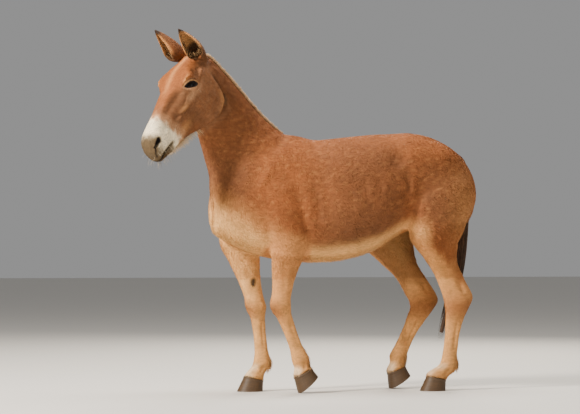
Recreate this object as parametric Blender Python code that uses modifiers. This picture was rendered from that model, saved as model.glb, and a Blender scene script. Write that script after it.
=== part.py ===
"""A life-size standing mule, for Blender 4.5.

Metres, +Z up, +X towards the animal's head, +Y to its left. The body is modelled whole
from lofted sections, joined by a voxel remesh, and then parted with thin flat cuts.
"""

import math

import bmesh
import bpy
import numpy as np
from mathutils import Matrix, Vector

# ---------------------------------------------------------------- driving dimensions
CUT_GAP = 0.0004            # between neighbouring pieces
SEAT_GAP = 0.0012           # under the ears and the mane
VOXEL = 0.008               # of the joined body
SMOOTHING_PASSES = 7        # over the joined body
BODY_TRIANGLES = 4400
SECTION_POINTS = 40         # round each section
ROWS_PER_SPAN = 5           # smooth rows between two named sections

HEAD_YAW = math.radians(35)      # towards the left
HEAD_PITCH = math.radians(48.5)    # nose down
HEAD_ROLL = math.radians(6)
POLL = Vector((0.843, 0.090, 1.679))

LIMB_SPREAD_FORE = 0.105    # a foot's distance from the middle plane
LIMB_SPREAD_HIND = 0.118

# A hoof, from the middle of its coronet
HOOF_TOE_REACH = 0.090
HOOF_HEEL_REACH = 0.046
HOOF_DEPTH = 0.066          # the coronet's middle above the sole
HOOF_HALF_WIDTH = 0.060
CORONET_HALF_LENGTH = 0.053
CORONET_HALF_WIDTH = 0.046
CORONET_SLOPE = math.radians(14)  # lower at the heel
TOE_BITE = 0.0035           # of a tipped toe below the floor, cut off as its flat

# In the head's own frame
EYE_PLACE = Vector((0.181, 0.073, 0.034))
EYE_RADIUS = 0.034
EYE_SEGMENTS = 16           # of the eye and its socket
EYE_OUTWARDS = Vector((0.16, 0.93, 0.34))   # the way that the eye looks
EYE_LENGTHWISE = Vector((0.78, -0.16, 0.62))  # from its back corner to its front corner
EYE_OPENING = (0.041, 0.0205)                # half length and half height between the lids
LID_CUT_DEPTH = 0.050       # of the opening outside the eye's middle
ORBIT_RADII = (0.052, 0.042, 0.036)         # of the mound of lids and brow: length, height, depth
ORBIT_RISE = 0.011          # of the mound's middle over the eye's
NOSTRIL_PLACE = Vector((0.545, 0.056, 0.000))
NOSTRIL_RADII = (0.024, 0.014, 0.009)
MOUTH_CORNER = 0.475        # along the head
MOUTH_LEVEL = -0.070
EAR_BASE = Vector((-0.016, 0.056, 0.030))
EAR_TIPS = {"left": Vector((0.018, 0.088, 0.281)), "right": Vector((0.000, -0.088, 0.291))}
EAR_OPENINGS = {"left": Vector((0.80, 0.58, 0.0)), "right": Vector((0.93, -0.32, 0.0))}
EAR_WALL = 0.0055
MANE_HEIGHT = 0.020         # of the clipped hair over the crest
MANE_HALF_WIDTH = 0.013

# Where the body is parted
FORELEG_CUT = 0.652         # heights
HINDLEG_CUT = 0.740
NECK_CUT = (Vector((0.330, 0.0, 1.420)), Vector((0.830, 0.0, 1.010)))  # withers, breast
HEAD_CUT = (Vector((-0.045, 0.0, 0.300)), Vector((0.075, 0.0, -0.222)))  # poll, jaw; head's frame
JAW_CUT_LENGTH = 0.300      # on from the head's cut, along under the jaw

# The trunk: x, top, bottom, half width, widest level (share of the height), powers
TRUNK = (
    ("breast tip",     0.758, 0.995, 0.900, 0.060, 0.50, 1.0, 1.0),
    ("breast",         0.742, 1.075, 0.835, 0.125, 0.50, 0.9, 0.9),
    ("shoulder point", 0.693, 1.170, 0.795, 0.172, 0.48, 0.9, 0.9),
    ("shoulder",       0.612, 1.260, 0.752, 0.200, 0.45, 1.0, 0.9),
    ("mid shoulder",   0.495, 1.325, 0.711, 0.207, 0.42, 1.1, 0.9),
    ("elbow",          0.378, 1.350, 0.691, 0.206, 0.42, 1.2, 0.9),
    ("withers",        0.297, 1.346, 0.684, 0.212, 0.42, 1.2, 0.9),
    ("girth",          0.194, 1.325, 0.680, 0.232, 0.44, 1.1, 0.9),
    ("ribs",           0.045, 1.340, 0.692, 0.262, 0.45, 0.95, 0.9),
    ("last rib",      -0.108, 1.357, 0.735, 0.266, 0.46, 0.85, 0.9),
    ("flank",         -0.225, 1.362, 0.805, 0.246, 0.50, 0.75, 0.9),
    ("point of hip",  -0.324, 1.368, 0.845, 0.238, 0.60, 0.72, 0.9),
    ("croup",         -0.423, 1.352, 0.850, 0.232, 0.52, 0.80, 0.9),
    ("hip joint",     -0.522, 1.308, 0.850, 0.216, 0.50, 0.85, 0.9),
    ("tail head",     -0.594, 1.258, 0.860, 0.200, 0.50, 0.8, 0.9),
    ("buttock",       -0.642, 1.195, 0.890, 0.172, 0.50, 0.8, 0.9),
    ("buttock tip",   -0.668, 1.125, 0.960, 0.130, 0.50, 0.9, 0.9),
)

# The neck: crest x and z, throat x and z, sideways place, half width
NECK = (
    ("neck root",   0.270, 1.325, 0.690, 0.900, 0.000, 0.175),
    ("neck base",   0.380, 1.362, 0.757, 1.010, 0.000, 0.148),
    ("low neck",    0.472, 1.432, 0.768, 1.125, 0.004, 0.118),
    ("mid neck",    0.549, 1.507, 0.802, 1.233, 0.018, 0.098),
    ("high neck",   0.622, 1.585, 0.832, 1.323, 0.036, 0.086),
    ("throat",      0.699, 1.662, 0.858, 1.404, 0.054, 0.080),
    ("neck top",    0.782, 1.736, 0.885, 1.480, 0.070, 0.074),
    ("poll",        0.848, 1.752, 0.905, 1.530, 0.096, 0.062),
)

# The head's cage: along the head from the poll, then seven places of the half section
# from the forehead's middle round to the jaw's: (half width, height).
HEAD = (
    (-0.035, ((0, 0.078), (0.034, 0.070), (0.058, 0.034), (0.066, -0.010),
             (0.064, -0.060), (0.050, -0.110), (0, -0.120))),
    (0.020, ((0, 0.099), (0.040, 0.090), (0.068, 0.054), (0.078, 0.000),
             (0.078, -0.070), (0.066, -0.148), (0, -0.150))),
    (0.085, ((0, 0.110), (0.050, 0.103), (0.084, 0.068), (0.088, 0.010),
             (0.088, -0.082), (0.074, -0.190), (0, -0.175))),
    (0.145, ((0, 0.117), (0.060, 0.112), (0.108, 0.092), (0.095, 0.015),
             (0.091, -0.087), (0.077, -0.212), (0, -0.175))),
    (0.200, ((0, 0.112), (0.058, 0.106), (0.108, 0.082), (0.097, 0.010),
             (0.088, -0.087), (0.073, -0.212), (0, -0.165))),
    (0.262, ((0, 0.097), (0.045, 0.090), (0.074, 0.054), (0.086, -0.006),
             (0.074, -0.087), (0.060, -0.186), (0, -0.145))),
    (0.335, ((0, 0.088), (0.036, 0.081), (0.056, 0.042), (0.068, -0.018),
             (0.056, -0.079), (0.045, -0.152), (0, -0.125))),
    (0.412, ((0, 0.079), (0.031, 0.072), (0.047, 0.036), (0.054, -0.018),
             (0.047, -0.070), (0.037, -0.126), (0, -0.110))),
    (0.478, ((0, 0.071), (0.032, 0.064), (0.050, 0.032), (0.055, -0.014),
             (0.049, -0.062), (0.036, -0.112), (0, -0.104))),
    (0.535, ((0, 0.056), (0.036, 0.051), (0.058, 0.024), (0.058, -0.016),
             (0.049, -0.062), (0.038, -0.106), (0, -0.110))),
    (0.575, ((0, 0.026), (0.034, 0.022), (0.052, 0.002), (0.052, -0.028),
             (0.044, -0.064), (0.032, -0.092), (0, -0.098))),
    (0.596, ((0, -0.012), (0.020, -0.014), (0.034, -0.024), (0.036, -0.040),
             (0.030, -0.060), (0.018, -0.076), (0, -0.080))),
)

# Muscle and bone that stand out of the sections, on both sides: middle, radii, lean forward.
BODY_MASSES = (
    ("shoulder blade",  (0.460, 0.092, 1.110), (0.085, 0.075, 0.180), -28),
    ("triceps",         (0.400, 0.150, 0.940), (0.120, 0.075, 0.140), 20),
    ("shoulder point",  (0.640, 0.110, 1.010), (0.065, 0.075, 0.090), 0),
    ("breast",          (0.690, 0.062, 0.935), (0.062, 0.064, 0.095), 0),
    ("point of hip",    (-0.268, 0.188, 1.258), (0.045, 0.030, 0.032), 0),
    ("rump",            (-0.420, 0.122, 1.195), (0.160, 0.105, 0.115), 12),
    ("haunch",          (-0.540, 0.130, 1.020), (0.105, 0.088, 0.190), -8),
    ("thigh",           (-0.420, 0.150, 0.930), (0.120, 0.085, 0.150), 22),
)
# The same in the head's own frame
HEAD_MASSES = (
    ("cheek muscle",    (0.130, 0.066, -0.105), (0.078, 0.031, 0.078), 0),
    ("facial crest",    (0.300, 0.064, -0.012), (0.075, 0.015, 0.013), 12),
    ("cheek arch",      (0.105, 0.084, 0.030), (0.065, 0.019, 0.015), -8),
    ("nostril wing",    (0.530, 0.047, 0.010), (0.042, 0.017, 0.022), 12),
    ("chin",            (0.500, 0.012, -0.104), (0.034, 0.026, 0.018), 0),
)

# A leg's joints in its own plane (x, z): shoulder, elbow, knee and fetlock, or hip, stifle,
# hock and fetlock; then the coronet's x, and how far the hoof is tipped onto its toe.
LEGS = {
    "foreleg_left": (((0.470, 1.080), (0.365, 0.800), (0.415, 0.450), (0.309, 0.172)), 0.292, 42),
    "foreleg_right": (((0.560, 1.080), (0.565, 0.790), (0.486, 0.442), (0.456, 0.156)), 0.499, 0),
    "hindleg_left": (((-0.480, 1.130), (-0.430, 0.830), (-0.545, 0.462), (-0.508, 0.135)), -0.441, 0),
    "hindleg_right": (((-0.420, 1.110), (-0.270, 0.800), (-0.438, 0.452), (-0.306, 0.172)), -0.300, 33),
}

# Sections of the legs: bone, share along it, reach forward, reach back, half width, sideways shift
FORE = (
    ("scapula",      0, 0.10, 0.125, 0.125, 0.060, 0.050),
    ("arm",          0, 0.60, 0.122, 0.128, 0.074, 0.046),
    ("elbow",        1, 0.02, 0.112, 0.105, 0.070, 0.030),
    ("forearm",      1, 0.22, 0.092, 0.088, 0.062, 0.014),
    ("low forearm",  1, 0.50, 0.070, 0.062, 0.048, 0.004),
    ("over knee",    1, 0.80, 0.054, 0.052, 0.040, 0.000),
    ("knee top",     1, 0.93, 0.058, 0.054, 0.046, 0.000),
    ("knee",         2, 0.03, 0.055, 0.056, 0.047, 0.000),
    ("under knee",   2, 0.20, 0.038, 0.044, 0.036, 0.000),
    ("cannon",       2, 0.50, 0.032, 0.040, 0.026, 0.000),
    ("low cannon",   2, 0.78, 0.034, 0.042, 0.027, 0.000),
    ("fetlock",      3, 0.00, 0.045, 0.053, 0.036, 0.000),
    ("pastern",      3, 0.50, 0.040, 0.044, 0.032, 0.000),
    ("coronet",      3, 1.00, 0.054, 0.056, 0.046, 0.000),
    ("under",        3, 1.35, 0.056, 0.058, 0.047, 0.000),
)
HIND = (
    ("haunch",       0, 0.05, 0.150, 0.170, 0.080, 0.035),
    ("thigh",        0, 0.50, 0.168, 0.165, 0.092, 0.040),
    ("stifle",       1, 0.00, 0.150, 0.150, 0.084, 0.032),
    ("gaskin",       1, 0.22, 0.105, 0.105, 0.068, 0.016),
    ("low gaskin",   1, 0.48, 0.068, 0.078, 0.044, 0.000),
    ("over hock",    1, 0.76, 0.056, 0.096, 0.036, 0.000),
    ("hock top",     1, 0.94, 0.056, 0.112, 0.042, 0.000),
    ("hock",         2, 0.05, 0.052, 0.092, 0.045, 0.000),
    ("under hock",   2, 0.24, 0.044, 0.062, 0.034, 0.000),
    ("cannon",       2, 0.52, 0.038, 0.046, 0.027, 0.000),
    ("low cannon",   2, 0.80, 0.039, 0.045, 0.028, 0.000),
    ("fetlock",      3, 0.00, 0.046, 0.052, 0.037, 0.000),
    ("pastern",      3, 0.50, 0.041, 0.044, 0.033, 0.000),
    ("coronet",      3, 1.00, 0.056, 0.056, 0.047, 0.000),
    ("under",        3, 1.35, 0.058, 0.058, 0.048, 0.000),
)

# An ear from base to tip: share, half width, depth of the conch, half angle of the wall, fill, place of the back
EAR = (
    (0.00, 0.020, 0.022, 170, 0.85, -0.014),
    (0.10, 0.026, 0.027, 168, 0.85, -0.022),
    (0.19, 0.033, 0.034, 164, 0.75, -0.028),
    (0.28, 0.040, 0.046, 146, 0.30, -0.032),
    (0.37, 0.045, 0.060, 120, 0.00, -0.034),
    (0.47, 0.047, 0.068, 104, 0.00, -0.034),
    (0.59, 0.043, 0.062, 95, 0.00, -0.031),
    (0.72, 0.035, 0.050, 90, 0.00, -0.025),
    (0.85, 0.023, 0.034, 90, 0.00, -0.017),
    (0.94, 0.012, 0.018, 90, 0.00, -0.009),
    (1.00, 0.0035, 0.006, 90, 0.00, -0.003),
)

# The tail with its hair: x, z, half thickness, half width
TAIL = (
    (-0.575, 1.262, 0.020, 0.020),
    (-0.625, 1.215, 0.026, 0.027),
    (-0.648, 1.130, 0.026, 0.028),
    (-0.652, 1.020, 0.026, 0.030),
    (-0.641, 0.880, 0.028, 0.034),
    (-0.626, 0.740, 0.032, 0.038),
    (-0.602, 0.600, 0.032, 0.038),
    (-0.562, 0.460, 0.028, 0.034),
    (-0.524, 0.340, 0.021, 0.026),
    (-0.498, 0.240, 0.008, 0.010),
)


def clear_scene():
    for obj in list(bpy.data.objects):
        bpy.data.objects.remove(obj, do_unlink=True)


def new_collection(name):
    made = bpy.data.collections.new(name)
    bpy.context.scene.collection.children.link(made)
    return made


def mesh_object(name, mesh, collection):
    """An object that holds the finished bmesh."""
    data = bpy.data.meshes.new(name)
    mesh.to_mesh(data)
    mesh.free()
    obj = bpy.data.objects.new(name, data)
    collection.objects.link(obj)
    return obj


# ---------------------------------------------------------------- lofting
def between(a, b, c, d, t):
    """The Catmull-Rom curve from b to c, at the share t of the way."""
    bend = (2 * a - 5 * b + 4 * c - d) * t * t
    twist = (3 * b - a - 3 * c + d) * t**3
    return 0.5 * (2 * b + (c - a) * t + bend + twist)


def smooth_rows(rows, per_span):
    """Catmull-Rom rows through the given rows (an array of any row length)."""
    rows = np.asarray(rows, float)
    ends = np.concatenate([[2 * rows[0] - rows[1]], rows, [2 * rows[-1] - rows[-2]]])
    out = []
    for i in range(len(rows) - 1):
        a, b, c, d = ends[i : i + 4]
        for t in np.arange(per_span) / per_span:
            out.append(between(a, b, c, d, t))
    out.append(rows[-1])
    return np.array(out)


def oval(front, back, side, half_width, widest, front_power, back_power):
    """One section: an oval from the front point to the back point, widest at a share of the way."""
    turn = np.arange(SECTION_POINTS) * 2 * math.pi / SECTION_POINTS
    centre = back + (front - back) * widest
    along = np.cos(turn)[:, None]
    reach = np.where(along > 0, along * (front - centre), -along * (back - centre))
    power = np.where(np.cos(turn) > 0, front_power, back_power)
    across = np.sign(np.sin(turn)) * np.abs(np.sin(turn)) ** power * half_width
    return centre + reach + across[:, None] * side


def loft(name, rings, collection, folded=False):
    """A closed mesh through rings of equal size. A fan closes each end, or on a folded wall,
    whose second half runs back along its first, a strip."""
    rings = np.asarray(rings, float)
    rows, count = rings.shape[:2]
    mesh = bmesh.new()
    verts = [[mesh.verts.new(p) for p in ring] for ring in rings]
    for row in range(rows - 1):
        for k in range(count):
            n = (k + 1) % count
            mesh.faces.new((verts[row][k], verts[row][n], verts[row + 1][n], verts[row + 1][k]))
    for end in (0, -1):
        ring = verts[end]
        if folded:
            for k in range(count // 2 - 1):
                mesh.faces.new((ring[k], ring[k + 1], ring[count - 2 - k], ring[count - 1 - k]))
            continue
        tip = mesh.verts.new(rings[end].mean(axis=0))
        for k in range(count):
            mesh.faces.new((ring[k], ring[(k + 1) % count], tip))
    bmesh.ops.recalc_face_normals(mesh, faces=mesh.faces)
    return mesh_object(name, mesh, collection)


def trunk_loft(collection):
    rows = smooth_rows([row[1:] for row in TRUNK], ROWS_PER_SPAN)
    side = np.array((0.0, 1.0, 0.0))
    rings = []
    for x, top, bottom, half_width, widest, top_power, bottom_power in rows:
        front, back = np.array((x, 0.0, top)), np.array((x, 0.0, bottom))
        rings.append(oval(front, back, side, half_width, widest, top_power, bottom_power))
    return loft("trunk_loft", rings, collection)


def neck_loft(collection):
    rows = smooth_rows([row[1:] for row in NECK], ROWS_PER_SPAN)
    rings = []
    for index, (crest_x, crest_z, throat_x, throat_z, sideways, half_width) in enumerate(rows):
        near, far = rows[max(index - 1, 0)], rows[min(index + 1, len(rows) - 1)]
        ahead = np.array(
            (
                (far[0] + far[2] - near[0] - near[2]) / 2,
                far[4] - near[4],
                (far[1] + far[3] - near[1] - near[3]) / 2,
            )
        )
        crest = np.array((crest_x, sideways, crest_z))
        throat = np.array((throat_x, sideways, throat_z))
        side = np.cross(crest - throat, ahead)
        side /= -np.linalg.norm(side)
        rings.append(oval(crest, throat, side, half_width, 0.42, 1.25, 0.85))
    return loft("neck_loft", rings, collection)


def head_matrix():
    """The head's own frame: x along the nose, y to its left, z out of the forehead."""
    yaw = Matrix.Rotation(HEAD_YAW, 4, "Z")
    pitch = Matrix.Rotation(HEAD_PITCH, 4, "Y")
    roll = Matrix.Rotation(HEAD_ROLL, 4, "X")
    return Matrix.Translation(POLL) @ yaw @ pitch @ roll


def eye_matrix(hand):
    """An eye's frame: x along the lids towards the nose, z outwards."""
    mirror = Vector((1.0, hand, 1.0))
    out = (EYE_OUTWARDS * mirror).normalized()
    along = EYE_LENGTHWISE * mirror
    along = (along - out * along.dot(out)).normalized()
    turn = Matrix((along, out.cross(along), out)).transposed().to_4x4()
    return head_matrix() @ Matrix.Translation(EYE_PLACE * mirror) @ turn


def head_loft(collection):
    rings = []
    rows = smooth_rows([[s] + [v for pair in cage for v in pair] for s, cage in HEAD], ROWS_PER_SPAN)
    for row in rows:
        half = row[1:].reshape(-1, 2)
        whole = np.concatenate([half, (half * (-1, 1))[-2:0:-1]])
        around = closed_curve(whole, SECTION_POINTS)
        rings.append(np.column_stack([np.full(len(around), row[0]), around]))
    obj = loft("head_loft", rings, collection)
    obj.data.transform(head_matrix())
    return obj


def closed_curve(points, count):
    """A closed Catmull-Rom curve through the points, read at count places."""
    n = len(points)
    share = np.arange(count) * n / count
    k = share.astype(int)
    t = (share - k)[:, None]
    a, b, c, d = (points[(k + j) % n] for j in (-1, 0, 1, 2))
    return between(a, b, c, d, t)


def coronet(name):
    """The coronet's middle, which stands the hoof on the floor, and the hoof's tip angle."""
    joints, x, tip_degrees = LEGS[name]
    hand = 1 if name.endswith("left") else -1
    spread = LIMB_SPREAD_FORE if name.startswith("fore") else LIMB_SPREAD_HIND
    tip = math.radians(tip_degrees)
    height = HOOF_DEPTH * math.cos(tip)
    if tip:
        height += HOOF_TOE_REACH * math.sin(tip) - TOE_BITE
    return Vector((x, hand * spread, height)), tip


def leg_loft(name, sections, collection):
    """A leg from its joints and its table of sections."""
    foot = coronet(name)[0]
    hand = math.copysign(1.0, foot.y)
    spread = abs(foot.y)
    points = [np.array((x, 0.0, z)) for x, z in LEGS[name][0] + ((foot.x, foot.z),)]
    bones = [points[i + 1] - points[i] for i in range(len(points) - 1)]
    bones = [b / np.linalg.norm(b) for b in bones]
    side = np.array((0.0, 1.0, 0.0))
    rows = []
    for bone, share, forward, backward, half_width, shift in [row[1:] for row in sections]:
        centre = points[bone] + (points[bone + 1] - points[bone]) * share
        direction = bones[bone].copy()
        if share < 0.1 and bone > 0:
            direction = bones[bone] + bones[bone - 1]
        elif 0.85 < share < 1.0 and bone < len(bones) - 1:
            direction = bones[bone] + bones[bone + 1] * 0.6
        direction /= np.linalg.norm(direction)
        ahead = np.cross(direction, side)
        middle = centre + side * hand * (spread + shift)
        rows.append(np.concatenate([middle + ahead * forward, middle - ahead * backward, [half_width]]))
    rings = [
        oval(row[:3], row[3:6], side, row[6], 0.5, 0.9, 0.9) for row in smooth_rows(rows, ROWS_PER_SPAN)
    ]
    return loft(name + "_loft", rings, collection)


def ear_loft(name, hand, collection):
    """A conch: an outer wall and an inner wall round the ear's bent axis, closed at both ends."""
    base = Vector((EAR_BASE.x, EAR_BASE.y * hand, EAR_BASE.z))
    side = "left" if hand > 0 else "right"
    axis = EAR_TIPS[side] - base
    length = axis.length
    up = np.array(axis / length)
    opening = np.array(EAR_OPENINGS[side])
    opening -= up * opening.dot(up)
    opening /= np.linalg.norm(opening)
    across = np.cross(up, opening)
    turns = np.linspace(-1, 1, 9)[:, None]
    rings = []
    for share, half_width, depth, wall_angle, fill, back in smooth_rows(EAR, 2):
        angle = math.radians(wall_angle)
        hollow = max(1.0 - EAR_WALL / half_width, 0.35)
        inner = max(hollow * (1.0 - fill), 0.15)
        middle = np.array(base) + up * length * share + opening * (back + depth)
        wide = across * np.sin(turns * angle) * half_width
        deep = opening * np.cos(turns * angle) * depth
        wall = wide - deep
        rings.append(np.concatenate([middle + wall, middle + wall[::-1] * inner]))
    obj = loft(name, rings, collection, folded=True)
    obj.data.transform(head_matrix())
    return obj


def mane_loft(collection):
    """A low ridge of clipped hair along the crest."""
    rows = smooth_rows([row[1:] for row in NECK], ROWS_PER_SPAN)
    rings = []
    for index in range(ROWS_PER_SPAN, len(rows) - ROWS_PER_SPAN + 1):
        near, far = rows[index - 1], rows[index + 1]
        crest = np.array((rows[index][0], rows[index][4], rows[index][1]))
        throat = np.array((rows[index][2], rows[index][4], rows[index][3]))
        out = (crest - throat) / np.linalg.norm(crest - throat)
        ahead = np.array((far[0] - near[0], far[4] - near[4], far[1] - near[1]))
        side = np.cross(out, ahead)
        side /= np.linalg.norm(side)
        rise = MANE_HEIGHT * min((index - ROWS_PER_SPAN + 1.5) / 8.0, 1.0)
        ring = oval(crest + out * rise, crest - out * 0.030, side, MANE_HALF_WIDTH, 0.45, 0.8, 0.9)
        rings.append(ring[::4])
    return loft("mane", rings[::2] + rings[-1:], collection)


def tail_loft(collection):
    rows = smooth_rows(TAIL, 3)
    side = np.array((0.0, 1.0, 0.0))
    rings = []
    for index, (x, z, half_thickness, half_width) in enumerate(rows):
        near, far = rows[max(index - 1, 0)], rows[min(index + 1, len(rows) - 1)]
        down = np.array((far[0] - near[0], 0.0, far[1] - near[1]))
        ahead = np.cross(down / np.linalg.norm(down), side)
        middle = np.array((x, 0.0, z))
        front, back = middle + ahead * half_thickness, middle - ahead * half_thickness
        rings.append(oval(front, back, side, half_width, 0.5, 1.0, 1.0)[::4])
    return loft("tail", rings, collection)


def hoof_matrix(name):
    place, tip = coronet(name)
    return Matrix.Translation(place) @ Matrix.Rotation(tip, 4, "Y")


def hoof_loft(name, leg, collection):
    """A hoof from its sloping coronet down to its flat sole."""
    side = np.array((0.0, 1.0, 0.0))
    slope = np.array((math.cos(CORONET_SLOPE), 0.0, math.sin(CORONET_SLOPE)))
    top_front = slope * CORONET_HALF_LENGTH
    top_back = -slope * (CORONET_HALF_LENGTH - 0.002)
    sole_front = np.array((HOOF_TOE_REACH, 0.0, -HOOF_DEPTH))
    sole_back = np.array((-HOOF_HEEL_REACH, 0.0, -HOOF_DEPTH))
    below = np.array((0.0, 0.0, -CUT_GAP))
    rings = []
    for share in (0.0, 0.06, 0.35, 0.70, 1.0):
        bulge = 0.0025 * math.sin(math.pi * min(share / 0.12, 1.0)) if share < 0.12 else 0.0
        front = top_front + (sole_front - top_front) * share + slope * bulge
        back = top_back + (sole_back - top_back) * share - slope * bulge
        half_width = CORONET_HALF_WIDTH + (HOOF_HALF_WIDTH - CORONET_HALF_WIDTH) * share + bulge
        rings.append(oval(front, back, side, half_width, 0.46, 0.85, 0.75)[::2] + below * (1 - share))
    obj = loft(name, rings, collection)
    obj.data.transform(hoof_matrix(leg))
    return obj


# ---------------------------------------------------------------- joining and parting
def apply_modifiers(obj):
    """Replace the object's mesh with the one that its modifiers make."""
    evaluated = obj.evaluated_get(bpy.context.evaluated_depsgraph_get())
    mesh = bpy.data.meshes.new_from_object(evaluated)
    obj.modifiers.clear()
    old = obj.data
    obj.data = mesh
    bpy.data.meshes.remove(old)


def boolean(obj, cutter, operation="DIFFERENCE"):
    cut = obj.modifiers.new(operation.lower(), "BOOLEAN")
    cut.operation = operation
    cut.solver = "EXACT"
    cut.object = cutter
    apply_modifiers(obj)


def slab(name, matrix, size, collection):
    """A thin box whose z is the way across the cut."""
    mesh = bmesh.new()
    bmesh.ops.create_cube(mesh, size=1.0, matrix=matrix @ Matrix.Diagonal((*size, 1.0)))
    return mesh_object(name, mesh, collection)


def ball(name, matrix, radii, segments, collection):
    """An egg with the given half axes in the matrix's frame."""
    mesh = bmesh.new()
    stretch = matrix @ Matrix.Diagonal((*radii, 1.0))
    rings = segments // 2 + 2
    bmesh.ops.create_uvsphere(mesh, u_segments=segments, v_segments=rings, radius=1.0, matrix=stretch)
    return mesh_object(name, mesh, collection)


def masses(table, frame, hand, collection):
    """The table's egg-shaped masses on one side of the given frame."""
    made = []
    for name, middle, radii, lean in table:
        place = Matrix.Translation(Vector(middle) * Vector((1.0, hand, 1.0)))
        turn = Matrix.Rotation(math.radians(lean), 4, "Y")
        made.append(ball(name, frame @ place @ turn, radii, 20, collection))
    return made


def joined_body(lofts, collection):
    """One closed skin over all the lofts, smoothed and thinned."""
    mesh = bmesh.new()
    for part in lofts:
        mesh.from_mesh(part.data)
    body = mesh_object("body", mesh, collection)
    remesh = body.modifiers.new("remesh", "REMESH")
    remesh.mode = "VOXEL"
    remesh.voxel_size = VOXEL
    smooth = body.modifiers.new("smooth", "SMOOTH")
    smooth.factor = 0.5
    smooth.iterations = SMOOTHING_PASSES
    apply_modifiers(body)
    thin = body.modifiers.new("thin", "DECIMATE")
    thin.ratio = BODY_TRIANGLES / (2 * len(body.data.polygons))
    apply_modifiers(body)
    return body


def run_slab(name, frame, start, end, width, collection):
    """A thin cut from the start to the end, both in the frame's own x and z."""
    run = end - start
    turn = Matrix.Rotation(-math.atan2(run.z, run.x), 4, "Y")
    middle = Matrix.Translation((start + end) / 2)
    return slab(name, frame @ middle @ turn, (run.length, width, CUT_GAP), collection)


def cutting_slabs(collection):
    """The thin cuts between head, neck, trunk, legs and hooves."""
    head = head_matrix()
    world = Matrix.Identity(4)
    jaw_end = HEAD_CUT[1] + Vector((JAW_CUT_LENGTH, 0, 0))
    slabs = [
        run_slab("cut_poll", head, *HEAD_CUT, 0.5, collection),
        run_slab("cut_jaw", head, HEAD_CUT[1], jaw_end, 0.5, collection),
        run_slab("cut_neck", world, *NECK_CUT, 0.7, collection),
        slab("cut_fore", Matrix.Translation((0.45, 0, FORELEG_CUT)), (0.6, 0.8, CUT_GAP), collection),
        slab("cut_hind", Matrix.Translation((-0.42, 0, HINDLEG_CUT)), (0.7, 0.8, CUT_GAP), collection),
    ]
    for leg in LEGS:
        matrix = hoof_matrix(leg) @ Matrix.Rotation(-CORONET_SLOPE, 4, "Y")
        slabs.append(slab("cut_" + leg, matrix, (0.16, 0.14, CUT_GAP), collection))
    return slabs


def parted(body, collection):
    """The body's loose pieces, each named by where it lies."""
    mesh = bmesh.new()
    mesh.from_mesh(body.data)
    pieces = {}
    left = set(mesh.verts)
    while left:
        stack = [left.pop()]
        island = set(stack)
        while stack:
            for edge in stack.pop().link_edges:
                for vert in edge.verts:
                    if vert in left:
                        left.remove(vert)
                        island.add(vert)
                        stack.append(vert)
        middle = sum((v.co for v in island), Vector()) / len(island)
        pieces.setdefault(piece_name(middle), []).append(island)
    made = {}
    for name, islands in pieces.items():
        verts = max(islands, key=len)
        index = {v: i for i, v in enumerate(sorted(verts, key=lambda v: v.index))}
        faces = [[index[v] for v in f.verts] for f in mesh.faces if f.verts[0] in verts]
        data = bpy.data.meshes.new(name)
        data.from_pydata([v.co for v in index], [], faces)
        obj = bpy.data.objects.new(name, data)
        collection.objects.link(obj)
        made[name] = obj
    mesh.free()
    bpy.data.objects.remove(body)
    return made


def piece_name(middle):
    if middle.z < HINDLEG_CUT:
        for name in LEGS:
            foot = coronet(name)[0]
            if foot.y * middle.y > 0 and foot.x * middle.x > 0:
                return name if middle.z > foot.z else name + "_waste"
    local = head_matrix().inverted() @ middle
    if local.x > 0.05 and local.z > -0.18:
        return "head"
    return "neck" if middle.x > 0.45 and middle.z > 1.15 else "trunk"


def grown(obj, distance, collection):
    """A copy whose surface is moved outwards."""
    copy = bpy.data.objects.new(obj.name + "_grown", obj.data.copy())
    collection.objects.link(copy)
    coords = np.empty(len(copy.data.vertices) * 3)
    normals = np.empty_like(coords)
    copy.data.vertices.foreach_get("co", coords)
    copy.data.vertices.foreach_get("normal", normals)
    copy.data.vertices.foreach_set("co", coords + normals * distance)
    copy.data.update()
    return copy


def material(name, color, roughness):
    made = bpy.data.materials.new(name)
    made.use_nodes = True
    shader = made.node_tree.nodes["Principled BSDF"]
    shader.inputs["Base Color"].default_value = (*color, 1.0)
    shader.inputs["Roughness"].default_value = roughness
    shader.inputs["Metallic"].default_value = 0.0
    return made


COLORS = {
    "head": ((0.36, 0.20, 0.11), 0.8),
    "neck": ((0.34, 0.17, 0.09), 0.8),
    "trunk": ((0.36, 0.18, 0.10), 0.8),
    "leg": ((0.55, 0.40, 0.26), 0.8),
    "hoof": ((0.16, 0.13, 0.10), 0.5),
    "ear": ((0.38, 0.19, 0.09), 0.8),
    "eye": ((0.02, 0.012, 0.008), 0.1),
    "mane": ((0.70, 0.58, 0.44), 0.9),
    "tail": ((0.12, 0.08, 0.05), 0.9),
}


def color_key(name):
    for key in COLORS:
        if name.startswith(key):
            return key
    return "leg"


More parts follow.
